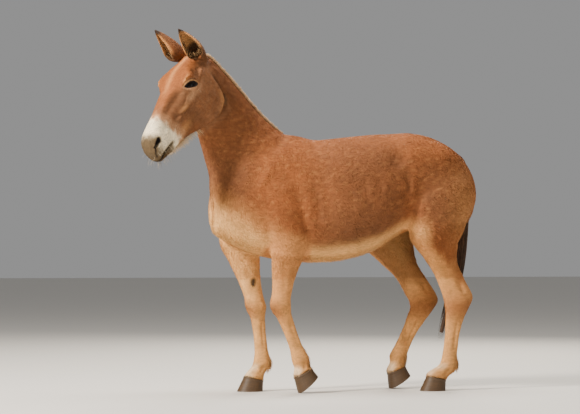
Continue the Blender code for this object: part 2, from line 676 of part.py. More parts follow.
def main():
    clear_scene()
    mule = new_collection("mule")
    guides = new_collection("guides")
    lofts = [trunk_loft(guides), neck_loft(guides), head_loft(guides)]
    for hand in (1, -1):
        mound_place = eye_matrix(hand) @ Matrix.Translation((0.0, -ORBIT_RISE, 0.0))
        lofts.append(ball("orbit", mound_place, ORBIT_RADII, 24, guides))
        lofts += masses(BODY_MASSES, Matrix.Identity(4), hand, guides)
        lofts += masses(HEAD_MASSES, head_matrix(), hand, guides)
    for name in LEGS:
        lofts.append(leg_loft(name, FORE if name.startswith("fore") else HIND, guides))
    body = joined_body(lofts, guides)
    body_shell = grown(body, SEAT_GAP, guides)
    for cutter in cutting_slabs(guides):
        boolean(body, cutter)
    pieces = parted(body, mule)
    for name in list(pieces):
        if name.endswith("_waste"):
            bpy.data.objects.remove(pieces.pop(name))

    head = pieces["head"]
    frame = head_matrix()
    for hand, label in ((1, "left"), (-1, "right")):
        mirror = Vector((1, hand, 1))
        boolean(head, ball("socket", eye_matrix(hand), (EYE_RADIUS + CUT_GAP,) * 3, EYE_SEGMENTS, guides))
        lid_place = eye_matrix(hand) @ Matrix.Translation((0.0, 0.0, LID_CUT_DEPTH))
        boolean(head, ball("lid_opening", lid_place, (*EYE_OPENING, LID_CUT_DEPTH), 14, guides))
        eye = ball("eye_" + label, eye_matrix(hand), (EYE_RADIUS,) * 3, EYE_SEGMENTS, mule)
        pieces[eye.name] = eye
        nostril_place = frame @ Matrix.Translation(NOSTRIL_PLACE * mirror)
        boolean(head, ball("nostril", nostril_place, NOSTRIL_RADII, 12, guides))
        ear = ear_loft("ear_" + label, hand, mule)
        boolean(ear, body_shell)
        pieces[ear.name] = ear
    mouth = Matrix.Translation((MOUTH_CORNER + 0.1, 0.0, MOUTH_LEVEL))
    boolean(head, slab("mouth", frame @ mouth, (0.2, 0.3, 0.0012), guides))

    mane = mane_loft(mule)
    boolean(mane, body_shell)
    pieces["mane"] = mane
    tail = tail_loft(mule)
    boolean(pieces["trunk"], grown(tail, CUT_GAP, guides))
    pieces["tail"] = tail
    ground = slab("ground", Matrix.Translation((0, 0, -0.1)), (3.0, 1.0, 0.2), guides)
    for leg in LEGS:
        name = "hoof_" + leg.replace("leg", "")
        hoof = hoof_loft(name, leg, mule)
        if coronet(leg)[1]:
            boolean(hoof, ground)
        pieces[name] = hoof

    corners = [v.co for obj in pieces.values() for v in obj.data.vertices]
    low = Vector(min(c[axis] for c in corners) for axis in range(3))
    high = Vector(max(c[axis] for c in corners) for axis in range(3))
    to_origin = Matrix.Translation((-(low.x + high.x) / 2, -(low.y + high.y) / 2, -low.z))
    finishes = {key: material(key + "_finish", *values) for key, values in COLORS.items()}
    for name, obj in pieces.items():
        obj.data.transform(to_origin)
        obj.data.materials.clear()
        obj.data.materials.append(finishes[color_key(name)])
        obj.data.shade_smooth()
    for guide in list(guides.objects):
        bpy.data.objects.remove(guide)


main()
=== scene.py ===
import math
import time

import bmesh
import bpy
import numpy as np
from mathutils import Matrix, Vector


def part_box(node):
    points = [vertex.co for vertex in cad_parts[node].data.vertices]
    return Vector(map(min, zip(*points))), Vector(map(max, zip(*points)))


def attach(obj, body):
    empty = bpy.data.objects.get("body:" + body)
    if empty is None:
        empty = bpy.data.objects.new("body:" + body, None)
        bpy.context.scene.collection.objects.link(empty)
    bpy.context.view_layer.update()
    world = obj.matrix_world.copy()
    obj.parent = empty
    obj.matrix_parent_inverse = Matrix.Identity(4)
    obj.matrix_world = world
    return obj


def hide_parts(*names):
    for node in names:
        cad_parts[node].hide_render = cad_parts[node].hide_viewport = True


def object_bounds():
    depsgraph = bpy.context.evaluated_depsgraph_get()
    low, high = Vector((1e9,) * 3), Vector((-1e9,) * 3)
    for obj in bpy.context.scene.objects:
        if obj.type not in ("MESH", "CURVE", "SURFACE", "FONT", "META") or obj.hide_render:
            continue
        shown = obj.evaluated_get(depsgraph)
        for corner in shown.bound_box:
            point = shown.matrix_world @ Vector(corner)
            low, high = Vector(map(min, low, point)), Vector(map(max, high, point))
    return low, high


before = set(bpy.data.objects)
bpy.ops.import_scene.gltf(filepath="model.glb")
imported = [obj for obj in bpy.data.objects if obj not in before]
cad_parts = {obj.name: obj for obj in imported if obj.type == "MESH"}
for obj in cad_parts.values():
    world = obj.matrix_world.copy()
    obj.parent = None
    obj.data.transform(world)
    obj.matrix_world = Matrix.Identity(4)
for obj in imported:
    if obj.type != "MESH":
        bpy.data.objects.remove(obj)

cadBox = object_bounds()
startTime = time.time()
rng = np.random.default_rng(7)


def report(stage):
    print(f"[mule] {stage} ({time.time() - startTime:.1f} s)")


# Small tools
def fade(low, high, value):  # an S-shaped step: 0 up to low, 1 from high on (low may be above high)
    share = np.clip((value - low) / (high - low), 0.0, 1.0)
    return share * share * (3.0 - 2.0 * share)


def unit(rows):
    return rows / np.maximum(np.linalg.norm(rows, axis=-1, keepdims=True), 1e-9)


def curveThrough(rows, count):  # Catmull-Rom through the rows, read at count even steps
    rows = np.asarray(rows, float)
    p = np.vstack([2 * rows[0] - rows[1], rows, 2 * rows[-1] - rows[-2]])
    at = np.linspace(0, len(rows) - 1 - 1e-9, count)
    k = at.astype(int)
    t = (at - k)[:, None]
    a, b, c, d = p[k], p[k + 1], p[k + 2], p[k + 3]
    return 0.5 * (2 * b + (c - a) * t + (2 * a - 5 * b + 4 * c - d) * t**2 + (3 * b - a - 3 * c + d) * t**3)


def cloud(places, size, seed):  # soft blotches about size across, from -1 to 1: a sum of slanted waves
    pick = np.random.default_rng(seed)
    waves = unit(pick.normal(size=(14, 3))) * (2 * math.pi / size) * pick.uniform(0.55, 1.5, (14, 1))
    return np.sin(places @ waves.T + pick.uniform(0, 6.28, 14)).sum(axis=1) / 5.5


def towards(value, goal, share):  # the value moved by its share of the way to the goal
    return value + (goal - value) * share[:, None]


def layered(rows, layers):  # each layer's value laid over the rows by its share
    for value, share in layers:
        rows = towards(rows, np.array(value), np.clip(share, 0, 1))
    return rows


def plain(value, count):  # count equal rows
    return np.tile(np.array(value, float), (count, 1))


def readOut(items, key, width=1, kind=float):  # a property of every item as one array
    values = np.empty(len(items) * width, kind)
    items.foreach_get(key, values)
    return values.reshape(-1, width) if width > 1 else values


def shown(name, data):
    obj = bpy.data.objects.new(name, data)
    bpy.context.scene.collection.objects.link(obj)
    return obj


def meshFrom(name, verts, faces, sound=False):  # faces: triangles or quads, or a list of both; sound ones go unchecked
    groups = faces if isinstance(faces, list) else [faces]
    mesh = bpy.data.meshes.new(name)
    mesh.vertices.add(len(verts))
    mesh.vertices.foreach_set("co", np.asarray(verts, np.float32).ravel())
    corners = np.concatenate([g.ravel() for g in groups])
    sizes = np.concatenate([np.full(len(g), g.shape[1]) for g in groups])
    mesh.loops.add(len(corners))
    mesh.loops.foreach_set("vertex_index", corners.astype(np.int32))
    mesh.polygons.add(len(sizes))
    mesh.polygons.foreach_set("loop_start", (np.cumsum(sizes) - sizes).astype(np.int32))
    mesh.update(calc_edges=True)
    if not sound:
        mesh.validate()
        mesh.shade_smooth()
    return mesh


def piece(name, mesh, finish, nodes=()):
    obj = shown(name, mesh)
    mesh.materials.clear()
    mesh.materials.append(finish)
    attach(obj, "root")
    if nodes:
        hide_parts(*nodes)
    return obj


def tint(mesh, colours):  # one colour for each vertex, in the attribute that the finishes read
    layer = mesh.attributes.new("coat", "FLOAT_COLOR", "POINT")
    layer.data.foreach_set("color", np.column_stack([colours, np.ones(len(colours))]).astype(np.float32).ravel())


def giveMap(mesh, name, perVertex):  # a UV map with one place for each vertex
    corner = readOut(mesh.loops, "vertex_index", 1, np.int32)
    mesh.uv_layers.new(name=name).data.foreach_set("uv", perVertex[corner].astype(np.float32).ravel())


def gridFaces(rows, columns, closed):  # quads between neighbouring rows; closed joins the last column to the first
    r, c = np.meshgrid(np.arange(rows - 1), np.arange(columns if closed else columns - 1), indexing="ij")
    n = (c + 1) % columns
    return np.stack([r * columns + c, r * columns + n, (r + 1) * columns + n, (r + 1) * columns + c], -1).reshape(-1, 4)


def tubeFaces(rows, columns):  # a closed grid, and a fan at each end to the two vertices that follow the grid's own
    near = np.arange(columns)
    fans = []
    for k, start in enumerate((0, (rows - 1) * columns)):
        ends = np.column_stack([near, (near + 1) % columns, np.full(columns, rows * columns + k)])
        fans.append(ends + np.array([start, start, 0]))
    return [gridFaces(rows, columns, True), *fans]


def outward(mesh):  # turns the faces outwards
    work = bmesh.new()
    work.from_mesh(mesh)
    bmesh.ops.recalc_face_normals(work, faces=work.faces)
    work.to_mesh(mesh)
    work.free()
    return mesh


# The animal's own frame
stance = {
    "headYaw": 35.0, "headPitch": 48.5, "headRoll": 6.0,   # degrees
    "eyePlace": (0.181, 0.073, 0.034),  # from the poll, in the head's frame
    "poll": (0.843, 0.090, 1.679),      # before the animal is centred on its floor
}
headTurn = np.array(
    Matrix.Rotation(math.radians(stance["headYaw"]), 3, "Z")
    @ Matrix.Rotation(math.radians(stance["headPitch"]), 3, "Y")
    @ Matrix.Rotation(math.radians(stance["headRoll"]), 3, "X")
)
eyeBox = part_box("eye_left")
eyeMiddle = np.array((eyeBox[0] + eyeBox[1]) / 2)
poll = eyeMiddle - headTurn @ np.array(stance["eyePlace"])
centring = poll - np.array(stance["poll"])


def toHead(places):  # x along the nose, y to the animal's left, z out of the forehead
    return (places - poll) @ headTurn


def fromHead(local):
    return np.asarray(local) @ headTurn.T + poll


def toStance(places):  # the frame in which the body's landmarks are given
    return places - centring


def fromStance(places):
    return np.asarray(places, float) + centring


def onLeft(places):  # both sides taken as the left one
    return places * np.where(places[:, 1:2] < 0, (1, -1, 1), (1, 1, 1))


# The eye's own frame: a along the lids towards the nose, b towards the chin, c outwards
eyeOut = unit(np.array((0.16, 0.93, 0.34)))
eyeAlong = np.array((0.78, -0.16, 0.62))
eyeAlong = unit(eyeAlong - eyeOut * (eyeAlong @ eyeOut))
eyeAlong = unit(eyeAlong + 0.06 * np.cross(eyeOut, eyeAlong))
eyeDown = np.cross(eyeOut, eyeAlong)
eyeAxes = np.stack([eyeAlong, eyeDown, eyeOut])


def toEye(q):
    return (q - np.array(stance["eyePlace"])) @ eyeAxes.T


def fromEye(e):
    return e @ eyeAxes + np.array(stance["eyePlace"])


# Markings: one set of colours for skin and coat
markings = {
    "sorrel": (0.300, 0.092, 0.027), "ginger": (0.340, 0.104, 0.028), "umber": (0.132, 0.054, 0.023),
    "cream": (0.760, 0.420, 0.150), "tan": (0.625, 0.288, 0.095), "fawn": (0.620, 0.300, 0.090),
    "white": (0.930, 0.790, 0.540), "nose": (0.072, 0.043, 0.015), "black": (0.012, 0.009, 0.007),
    "dun": (0.330, 0.175, 0.086), "speckle": (0.100, 0.058, 0.028), "rust": (0.345, 0.104, 0.026),
    "blush": (0.600, 0.320, 0.160),
}
shade = {name: np.array(value) for name, value in markings.items()}
bellyLine = (
    (-0.668, -0.594, -0.423, -0.225, -0.108, 0.045, 0.194, 0.378, 0.495, 0.612, 0.693, 0.742),
    (0.960, 0.860, 0.850, 0.805, 0.735, 0.692, 0.680, 0.691, 0.711, 0.752, 0.795, 0.835),
)
hindCentre = {  # height, then x of the middle of each hind leg
    1: ((0.462, 0.830, 1.130), (-0.545, -0.430, -0.480)), -1: ((0.452, 0.800, 1.110), (-0.438, -0.270, -0.420)),
}
jawLine = (
    (0.02, 0.08, 0.26, 0.30, 0.34, 0.38, 0.42, 0.60),
    (-0.150, -0.222, -0.222, -0.182, -0.162, -0.148, -0.130, -0.122),
)
cheekEdge = np.array((
    (24, 72, 0), (25, 70, -69), (31, 70, -113),
    (39, 70, -148), (54, 70, -189), (85, 72, -207),
    (135, 74, -212), (207, 72, -207), (275, 66, -184),
)) / 1000


def headShare(q):  # 1 on the head, 0 behind its rear edge and below its jaw
    back = 0.004 + np.maximum(-0.02 - q[:, 2], 0) * 0.30
    low = np.interp(q[:, 0], *jawLine)
    inside = fade(-0.030, 0.010, q[:, 0] - back) * fade(low - 0.035, low - 0.002, q[:, 2])
    return inside * (q[:, 2] > -0.30) * (q[:, 0] < 0.66) * (np.abs(q[:, 1]) < 0.17)


def spot(q, middle, radii):  # 1 in the middle of an egg, fading out through its skin
    return np.exp(-(((q - np.array(middle)) / np.array(radii)) ** 2).sum(axis=1))


def lineDistance(places, points, count=24):  # how far each place is from the curve, and how far along it lies
    line = curveThrough(points, count)
    nearest = np.full(len(places), 9.0)
    along = np.zeros(len(places))
    for k in range(count - 1):
        run = line[k + 1] - line[k]
        share = np.clip(((places - line[k]) @ run) / (run @ run), 0, 1)
        away = np.linalg.norm(places - line[k] - share[:, None] * run, axis=1)
        closer = away < nearest
        nearest[closer] = away[closer]
        along[closer] = (k + share[closer]) / (count - 1)
    return nearest, along


def seen(places, points, squash=0.3):  # the distance to a curve as seen from the side: sideways counts for less
    scale = np.array((1.0, squash, 1.0))
    return lineDistance(places * scale, np.asarray(points) * scale)


def stroke(places, points, width, ends=0.2):  # 1 on the curve, fading over width and towards both ends
    box = np.asarray(points, float)
    near = ((places > box.min(axis=0) - 3 * width) & (places < box.max(axis=0) + 3 * width)).all(axis=1)
    out = np.zeros(len(places))
    if near.any():
        away, along = lineDistance(places[near], points)
        out[near] = np.exp(-((away / width) ** 2)) * fade(0, ends, along) * fade(1, 1 - ends, along)
    return out


bodyPaint = (  # colour, share, then a spot's middle and radii or a stroke's curve and width
    ("tan", 0.55, spot, (-0.560, 0.150, 0.930), (0.10, 0.12, 0.20)),
    # Flank crease: painted shade along the crease
    (
        "umber", 0.70, stroke,
        ((-0.190, 0.25, 1.215), (-0.235, 0.25, 1.150), (-0.250, 0.245, 1.08), (-0.252, 0.24, 1.00)), 0.013,
    ),
    # Hip hollow: painted shade in the hollow
    ("umber", 0.45, spot, (-0.175, 0.25, 1.215), (0.050, 0.08, 0.06)),
    ("umber", 0.40, stroke, ((-0.33, 0.215, 1.06), (-0.40, 0.210, 0.97), (-0.46, 0.190, 0.90)), 0.035),
    # Behind the shoulder: painted shade in the groove behind the triceps
    (
        "umber", 0.28, stroke,
        ((0.300, 0.205, 1.230), (0.262, 0.220, 1.100), (0.228, 0.230, 0.960), (0.232, 0.215, 0.850)), 0.030,
    ),
)
headPaint = (  # colour, share, then a spot's middle and radii or a stroke's curve, width and ends
    ("blush", 0.65, spot, (0.222, 0.085, 0.008), (0.038, 0.05, 0.020)),
    ("blush", 0.40, spot, (0.165, 0.085, -0.006), (0.050, 0.05, 0.018)),
    ("tan", 0.35, spot, (0.300, 0.075, -0.006), (0.030, 0.05, 0.014)),
    # Painted shade in the hollow along the nose
    (
        "umber", 0.75, stroke,
        ((0.225, 0.074, 0.082), (0.280, 0.060, 0.074), (0.340, 0.050, 0.067), (0.410, 0.044, 0.060)), 0.019, 0.3,
    ),
    # Painted shade in the groove under the facial crest
    (
        "umber", 0.60, stroke,
        ((0.262, 0.082, -0.040), (0.300, 0.074, -0.028), (0.345, 0.064, -0.010), (0.385, 0.056, 0.006)), 0.009, 0.3,
    ),
    # Painted shade in the fold lines below the crest
    ("umber", 0.30, stroke, ((0.280, 0.078, -0.060), (0.330, 0.066, -0.045), (0.390, 0.054, -0.028)), 0.008, 0.3),
    # Painted shade in the groove before the cheek muscle
    ("umber", 0.60, spot, (0.305, 0.070, -0.100), (0.036, 0.06, 0.046)),
    ("ginger", 0.40, spot, (0.330, 0.062, -0.135), (0.05, 0.06, 0.020)),
    # Painted shade in the cheek line's groove
    ("umber", 0.55, stroke, ((0.300, 0.062, -0.130), (0.360, 0.050, -0.118), (0.430, 0.046, -0.105)), 0.010),
    ("tan", 0.45, spot, (0.360, 0.055, -0.085), (0.05, 0.04, 0.022)),
    ("tan", 0.40, stroke, ((0.050, 0.085, -0.120), (0.085, 0.090, -0.185), (0.170, 0.090, -0.205)), 0.020),
    ("fawn", 0.55, stroke, ((0.150, 0.100, 0.090), (0.190, 0.100, 0.094), (0.225, 0.090, 0.080)), 0.007),
    # Painted shade in the hollow over the eye
    ("umber", 0.60, stroke, ((0.095, 0.080, 0.080), (0.120, 0.090, 0.088), (0.140, 0.094, 0.088)), 0.008),
)


# The coat's colours, with painted shade (creases, hollows, turned-away sides) and some painted light (lit tops) laid in
# among them
def coatColourAndShading(places, normals):
    d = toStance(places)
    q = onLeft(toHead(places))
    x, y, z = d.T
    onHead = headShare(q)
    nx, ny, nz = normals.T
    hx, hy, hz = q.T
    body = 1 - onHead
    colour = plain(shade["sorrel"], len(d))

    def lay(name, share):
        colour[:] = towards(colour, shade[name], np.clip(share, 0, 1))

    def onBody(name, share):
        lay(name, share * body)

    def onFace(name, share):
        lay(name, share * onHead)

    blotch = cloud(d, 0.30, 1) * 0.6 + cloud(d, 0.11, 2) * 0.4
    patchy = cloud(d, 0.055, 4)
    streak = cloud(d * np.array((0.45, 1.0, 1.0)) + d[:, 2:3] * np.array((0.25, 0, 0)), 0.022, 3)
    onBody("ginger", 0.30 + 0.45 * blotch)
    onBody("umber", 0.10 + 0.18 * blotch)
    # Neck darker: partly its own darker coat, partly painted shade cast by the head
    onBody("umber", 0.50 * fade(0.50, 0.70, x + 0.35 * (z - 1.1)) * fade(0.92, 1.10, z))
    # Barrel's side darker: painted shade, mottled by the coat's blotches
    onBody(
        "umber",
        (0.46 + 0.12 * blotch) * fade(0.42, 0.00, x - 0.05 * (y < 0)) * fade(-0.42, -0.06, x) * fade(1.40, 1.22, z),
    )
    # Haunch darker: painted shade
    onBody("umber", 0.60 * fade(-0.24, -0.38, x) * fade(-0.70, -0.56, x) * fade(1.32, 1.10, z) * fade(0.78, 0.92, z))
    onBody("umber", 0.22 * fade(0.1, 0.9, streak) + 0.10 * fade(0.2, 0.9, patchy))
    onBody("tan", 0.18 * fade(0.2, 0.9, -streak))
    # Top of the back a brighter rust: partly coat tone, partly painted light from above
    onBody("rust", 0.45 * fade(1.20, 1.32, z) * fade(0.45, 0.2, x))
    # Lower barrel darker: painted shade under the barrel
    onBody("umber", 0.35 * fade(1.00, 0.86, z) * fade(0.30, 0.18, x) * fade(-0.30, -0.18, x))
    # Upper barrel darker: painted shade
    onBody("umber", 0.34 * fade(0.36, -0.02, x) * fade(-0.34, -0.06, x) * fade(1.42, 1.27, z))
    # Lower neck before the shoulder darker: painted shade cast by the head
    onBody("umber", 0.42 * fade(0.52, 0.70, x) * fade(0.88, 1.04, z) * fade(1.34, 1.14, z))
    for name, share, shape, *where in bodyPaint:
        onBody(name, share * shape(onLeft(d), *where))
    onFace("dun", (0.48 + 0.15 * cloud(q, 0.03, 25)) * fade(0.12, 0.05, hz))
    # Painted shade behind the cheek's rear edge, and a dark painted crease line along it
    lay("umber", 0.50 * stroke(q - (-0.030, 0, -0.020), cheekEdge, 0.040, 0.1))
    lay("umber", 0.85 * stroke(q, cheekEdge, 0.011, 0.1))
    lay("speckle", 0.90 * stroke(q, cheekEdge, 0.0075, 0.06) * fade(0.0, -0.10, hz))

    # Underside
    bottom = np.interp(x, *bellyLine)
    ragged = 0.012 * cloud(d, 0.06, 14) + 0.006 * cloud(d, 0.018, 15)
    under = fade(-0.35, -0.85, nz) * fade(bottom + 0.13, bottom + 0.04, z)
    belly = fade(-0.40, -0.30, x) * fade(0.70, 0.62, x) * (z > 0.60) * body
    lay("tan", 0.70 * fade(bottom + 0.110, bottom + 0.030, z + ragged) * belly)
    lay("cream", 0.78 * np.maximum(under, fade(bottom + 0.046, bottom - 0.004, z + ragged)) * belly)
    for hand in (1, -1):
        shift = np.array((0.0 if hand == 1 else 0.13, 0, 0.0))
        fold = np.array(((-0.235, 0.20, 0.900), (-0.285, 0.18, 0.850), (-0.335, 0.16, 0.790), (-0.375, 0.16, 0.720)))
        fold = (fold + shift) * (1, hand, 1)
        onBody("tan", 0.50 * stroke(d, fold, 0.045, 0.25))
        onBody("cream", 0.85 * stroke(d, fold, 0.020, 0.25))

    # Breast: pale below a slanting line, and between the forelegs
    line = 0.790 + (x - 0.48) * 0.64 + ragged
    chest = fade(0.40, 0.50, x) * fade(line + 0.075, line - 0.100, z)
    onBody("tan", 0.60 * fade(0.38, 0.50, x) * fade(line + 0.16, line - 0.03, z))
    onBody("cream", (0.95 + 0.08 * blotch) * chest)

    # Legs
    side = np.sign(y)
    for hand in (1, -1):
        own = (side == hand).astype(float)
        middle = 0.365 if hand == 1 else 0.565
        u = x - middle
        top = np.interp(u, (-0.14, -0.10, 0.0, 0.10, 0.15), (0.600, 0.780, 0.826, 0.850, 0.700)) + ragged
        front = own * (x > 0.10) * fade(top + 0.035, top - 0.070, z)
        u = x - np.interp(z, *hindCentre[hand])
        top = np.interp(u, (-0.23, -0.11, -0.01, 0.11, 0.17, 0.24), (0.735, 0.700, 0.690, 0.830, 0.900, 0.620))
        top = top + 2 * ragged
        rear = own * (x < 0.0) * fade(top + 0.030, top - 0.060, z)
        leg = np.maximum(front, rear)
        onBody("tan", leg)
        onBody("sorrel", 0.24 * front * fade(0.60, 0.76, z) * fade(-0.1, 0.6, ny * hand))
        onBody("sorrel", 0.16 * front * fade(0.45, 0.58, z) * fade(0.1, 0.75, ny * hand))
        onBody("sorrel", 0.60 * rear * fade(0.50, 0.60, z) * fade(0.0, 0.8, ny * hand) * fade(0.02, -0.08, u))
        band = np.array(
            ((-0.350, 0.170, 0.760), (-0.420, 0.160, 0.670), (-0.475, 0.150, 0.590), (-0.505, 0.135, 0.500))
        )
        onBody("fawn", 0.60 * stroke(d, (band + (0.0 if hand == 1 else 0.13, 0, 0)) * (1, hand, 1), 0.036, 0.3))
        inner = fade(-0.05, -0.60, ny * hand) * (0.35 + 0.65 * (x > 0.1))
        onBody("cream", 0.70 * inner * np.maximum(leg, own * fade(0.98, 0.84, z) * (z > 0.5) * (x < 0.66)))
        # Upper inside of the hind legs darker: painted shade
        onBody(
            "umber", 0.50 * fade(-0.05, -0.60, ny * hand) * own * (x < 0) * fade(0.52, 0.62, z) * fade(0.98, 0.86, z),
        )
        onBody("fawn", 0.50 * leg * fade(0.60, 0.34, z))
        onBody("cream", 0.22 * leg * fade(0.42, 0.14, z) * (0.8 + 0.4 * blotch))
    low = fade(0.66, 0.60, z)
    grain = cloud(d * np.array((1, 1, 0.45)), 0.010, 8)
    knees = np.exp(-(((z - 0.425) / 0.055) ** 2)) * (x > 0.12) * low
    hocks = np.exp(-(((z - 0.44) / 0.06) ** 2)) * (x < 0) * low
    rear = fade(0.1, -0.7, nx)
    onBody("sorrel", 0.60 * knees * fade(-0.4, 0.7, nx))
    onBody("umber", 0.30 * knees * fade(0.3, 0.9, nx))
    onBody("sorrel", 0.60 * hocks)
    onBody("umber", 0.50 * hocks * (0.4 + 0.6 * rear))
    onBody("speckle", 0.50 * fade(0.3, 1.0, grain) * (knees * 0.9 + hocks * 0.5))
    onBody("speckle", 0.50 * fade(0.1, 0.9, grain) * rear * fade(0.44, 0.36, z) * fade(0.10, 0.16, z))
    fetlockBack = fade(0.21, 0.15, z) * fade(0.05, 0.09, z) * rear
    darkness = 0.80 * (x < 0) * (y < 0) + 0.45 * (x < 0) * (y > 0) + 0.25 * (x > 0)
    onBody("speckle", darkness * fetlockBack * (0.75 + 0.35 * grain))
    # Pasterns' fronts paler: partly pale hair, partly painted highlight where they face the key lamp
    onBody("white", 0.50 * fade(0.16, 0.12, z) * fade(0.0, 0.6, nx))
    onBody("tan", 0.40 * fade(0.105, 0.085, z) * (x < 0.45))
    for middle in ((0.512, -0.062, 0.575), (0.392, 0.062, 0.585)):  # chestnuts, inside the forearms
        mark = spot(d, middle, (0.013, 0.020, 0.024))
        onBody("black", 1.2 * fade(0.30, 0.50, mark))
        onBody("speckle", 0.5 * fade(0.12, 0.30, mark))

    # Head
    # Lower side of the face darker: partly coat tone, partly painted shade
    cheek = fade(0.10, 0.0, hz) * fade(0.02, 0.12, hx)
    onFace("umber", (0.20 + 0.18 * cloud(q, 0.05, 9)) * cheek)
    onFace("umber", 0.24 + 0.20 * fade(0.35, 0.10, hx) * fade(0.02, 0.08, hz))
    # Side of the nose below its bridge darker: painted shade
    onFace("umber", 0.40 * fade(0.060, 0.035, hz) * fade(0.22, 0.27, hx) * fade(0.42, 0.36, hx))
    # Forehead a brighter rust: partly coat tone, partly painted light on the lit forehead
    onFace("rust", 0.60 * fade(0.060, 0.095, hz) * fade(0.385, 0.340, hx))
    onFace("rust", 0.35 * spot(q, (0.070, 0.05, 0.09), (0.06, 0.07, 0.05)))
    ownSide = toHead(places)
    for earSide in ("left", "right"):
        base, length, up, _, _ = earFrame(earSide)
        lay("umber", 0.92 * fade(0.10, 0.60, spot(ownSide, base + up * length * 0.08, (0.050, 0.044, 0.054))))
        corner = base + np.array((-0.030, 0.020 * ears[earSide]["hand"], 0.012))
        lay("speckle", 0.90 * fade(0.25, 0.60, spot(ownSide, corner, (0.032, 0.030, 0.034))))
    onFace("tan", 0.45 * fade(0.030, 0.000, hy) * fade(0.33, 0.20, hx) * fade(0.06, 0.09, hz))
    for name, share, shape, *where in headPaint:
        onFace(name, share * shape(q, *where))
    ragged = 0.010 * cloud(q, 0.045, 11) + 0.005 * cloud(q, 0.014, 16)
    start = 0.440 - np.maximum(0.085 - hz, 0) * 0.18 + 1.3 * ragged
    start = np.where(hz < -0.095, start + (-0.095 - hz) * 1.2, start)
    onFace("blush", 0.75 * fade(start - 0.060, start + 0.010, hx))
    onFace("white", fade(start - 0.014, start + 0.030, hx))
    front = hx + 0.30 * hz + 0.6 * ragged
    edge = np.interp(hz, (-0.075, -0.050, -0.030, 0.0, 0.03, 0.07), (0.530, 0.560, 0.560, 0.548, 0.524, 0.556))
    edge = edge + 1.2 * ragged
    onFace("nose", 0.95 * fade(edge - 0.034, edge + 0.032, hx + 0.4 * ragged))
    mottle = cloud(q * (1, 1, 0.6), 0.021, 20) + 0.7 * cloud(q, 0.009, 24)
    onFace("speckle", (0.26 + 0.26 * fade(-0.2, 1.1, mottle)) * fade(edge - 0.010, edge + 0.030, hx))
    onFace("umber", 0.55 * fade(-0.066, -0.080, hz) * fade(-0.125, -0.105, hz) * fade(0.490, 0.520, hx))
    wrinkle = np.sin(hz * 2 * math.pi / 0.0052 + 2.2 * cloud(q, 0.03, 17))
    onFace("speckle", 0.06 * fade(0.2, 1.0, wrinkle) * fade(0.545, 0.580, front))
    onFace("nose", 0.80 * fade(-0.064, -0.078, hz) * fade(-0.118, -0.100, hz) * fade(0.468, 0.490, hx))
    onFace("speckle", 0.30 * spot(q, (0.540, 0.055, -0.042), (0.040, 0.03, 0.018)) * (1 + 0.5 * cloud(q, 0.006, 19)))
    away, along = seen(q, mouthLine, 0.5)
    onFace("nose", 0.85 * fade(0.0150, 0.0060, away) * fade(-0.05, 0.05, along))
    # The lips' parting painted black: painted shade in the parting
    onFace("black", 0.92 * fade(0.0066, 0.0034, away))
    onFace("speckle", 0.60 * fade(0.62, 0.95, cloud(q, 0.0075, 13)) * fade(0.44, 0.47, hx))

    # Round the eye and in the nostril
    e = toEye(q)
    lids = fade(0.0, 0.014, e[:, 2]) * onHead
    rim = almond(e, *eyes["dark"])
    lay("blush", 0.62 * fade(0.016, 0.004, rim) * fade(-0.060, -0.010, e[:, 0] + 0.5 * e[:, 1]) * lids)
    lay("cream", 0.62 * np.exp(-(((rim - 0.0045) / 0.0020) ** 2)) * fade(0.002, -0.006, e[:, 1]) * lids)
    # Painted shade in the crease over the upper lid
    lay("umber", 0.35 * np.exp(-(((rim - 0.0105) / 0.0022) ** 2)) * fade(0.0, -0.008, e[:, 1]) * lids)
    lay("black", fade(0.0012, -0.0010, rim) * lids)
    outer = fade(0.012, 0.024, hy) * onHead
    # Inside the nostril and along its slit: dark skin, deepened to black as painted shade in the opening
    away, along = seen(q, nostril["line"])
    away = away / (1.05 - 0.50 * along)
    lay("speckle", 0.50 * fade(0.0190, 0.0150, away) * outer)
    lay("black", 0.70 * fade(0.0160, 0.0125, away) * outer)
    lay("black", 0.98 * fade(0.0135, 0.0105, away) * outer)
    away, along = seen(q, nostril["split"])
    lay("black", 0.92 * fade(0.0066, 0.0036, away) * outer)
    return np.clip(colour, 0.01, 0.95)


# Eyes and their lids
eyes = {  # the opening and the dark round it: half length, height above and below
    "radius": 0.0336, "opening": (0.0325, 0.0150, 0.0105), "dark": (0.0490, 0.0195, 0.0148),
    "lidThickness": 0.0032, "lidReach": 0.030, "rings": (40, 48),
}
nostril = {
    "line": ((0.533, 0.0645, 0.010), (0.546, 0.0640, 0.008), (0.561, 0.0620, 0.003), (0.575, 0.0580, -0.001)),
    "split": ((0.576, 0.056, -0.006), (0.588, 0.050, -0.026), (0.593, 0.042, -0.050)),
    "width": 0.0125, "depth": 0.021,
}
mouthLine = np.array((
    (464, 58, -74), (492, 56, -68), (530, 54, -64),
    (562, 45, -66), (582, 28, -76), (590, 0, -84),
)) / 1000


def almond(e, halfLength, upper, lower):  # how far a place lies outside two arcs that meet in two corners
    a = np.clip(e[:, 0] / halfLength, -3, 3)
    height = np.where(e[:, 1] < 0, upper, lower)
    arc = np.abs(e[:, 1]) - height * (1 - a * a)
    beyond = np.maximum(np.abs(e[:, 0]) - halfLength * 0.92, 0)
    steep = np.sqrt(1 + (2 * height * np.clip(a, -1, 1) / halfLength) ** 2)
    return np.where(np.abs(a) < 0.92, arc / steep, np.maximum(arc / steep, np.hypot(beyond, np.abs(e[:, 1]))))


# The skin
skin = {
    "fineVoxel": 0.0072, "voxel": 0.0138, "evening": 26,
    "depthBody": 0.0028, "depthLeg": 0.0018, "depthFace": 0.0012,  # of the coat over the skin
}
fleshNodes = ["head", "neck", "trunk", "foreleg_left", "foreleg_right", "hindleg_left", "hindleg_right"]

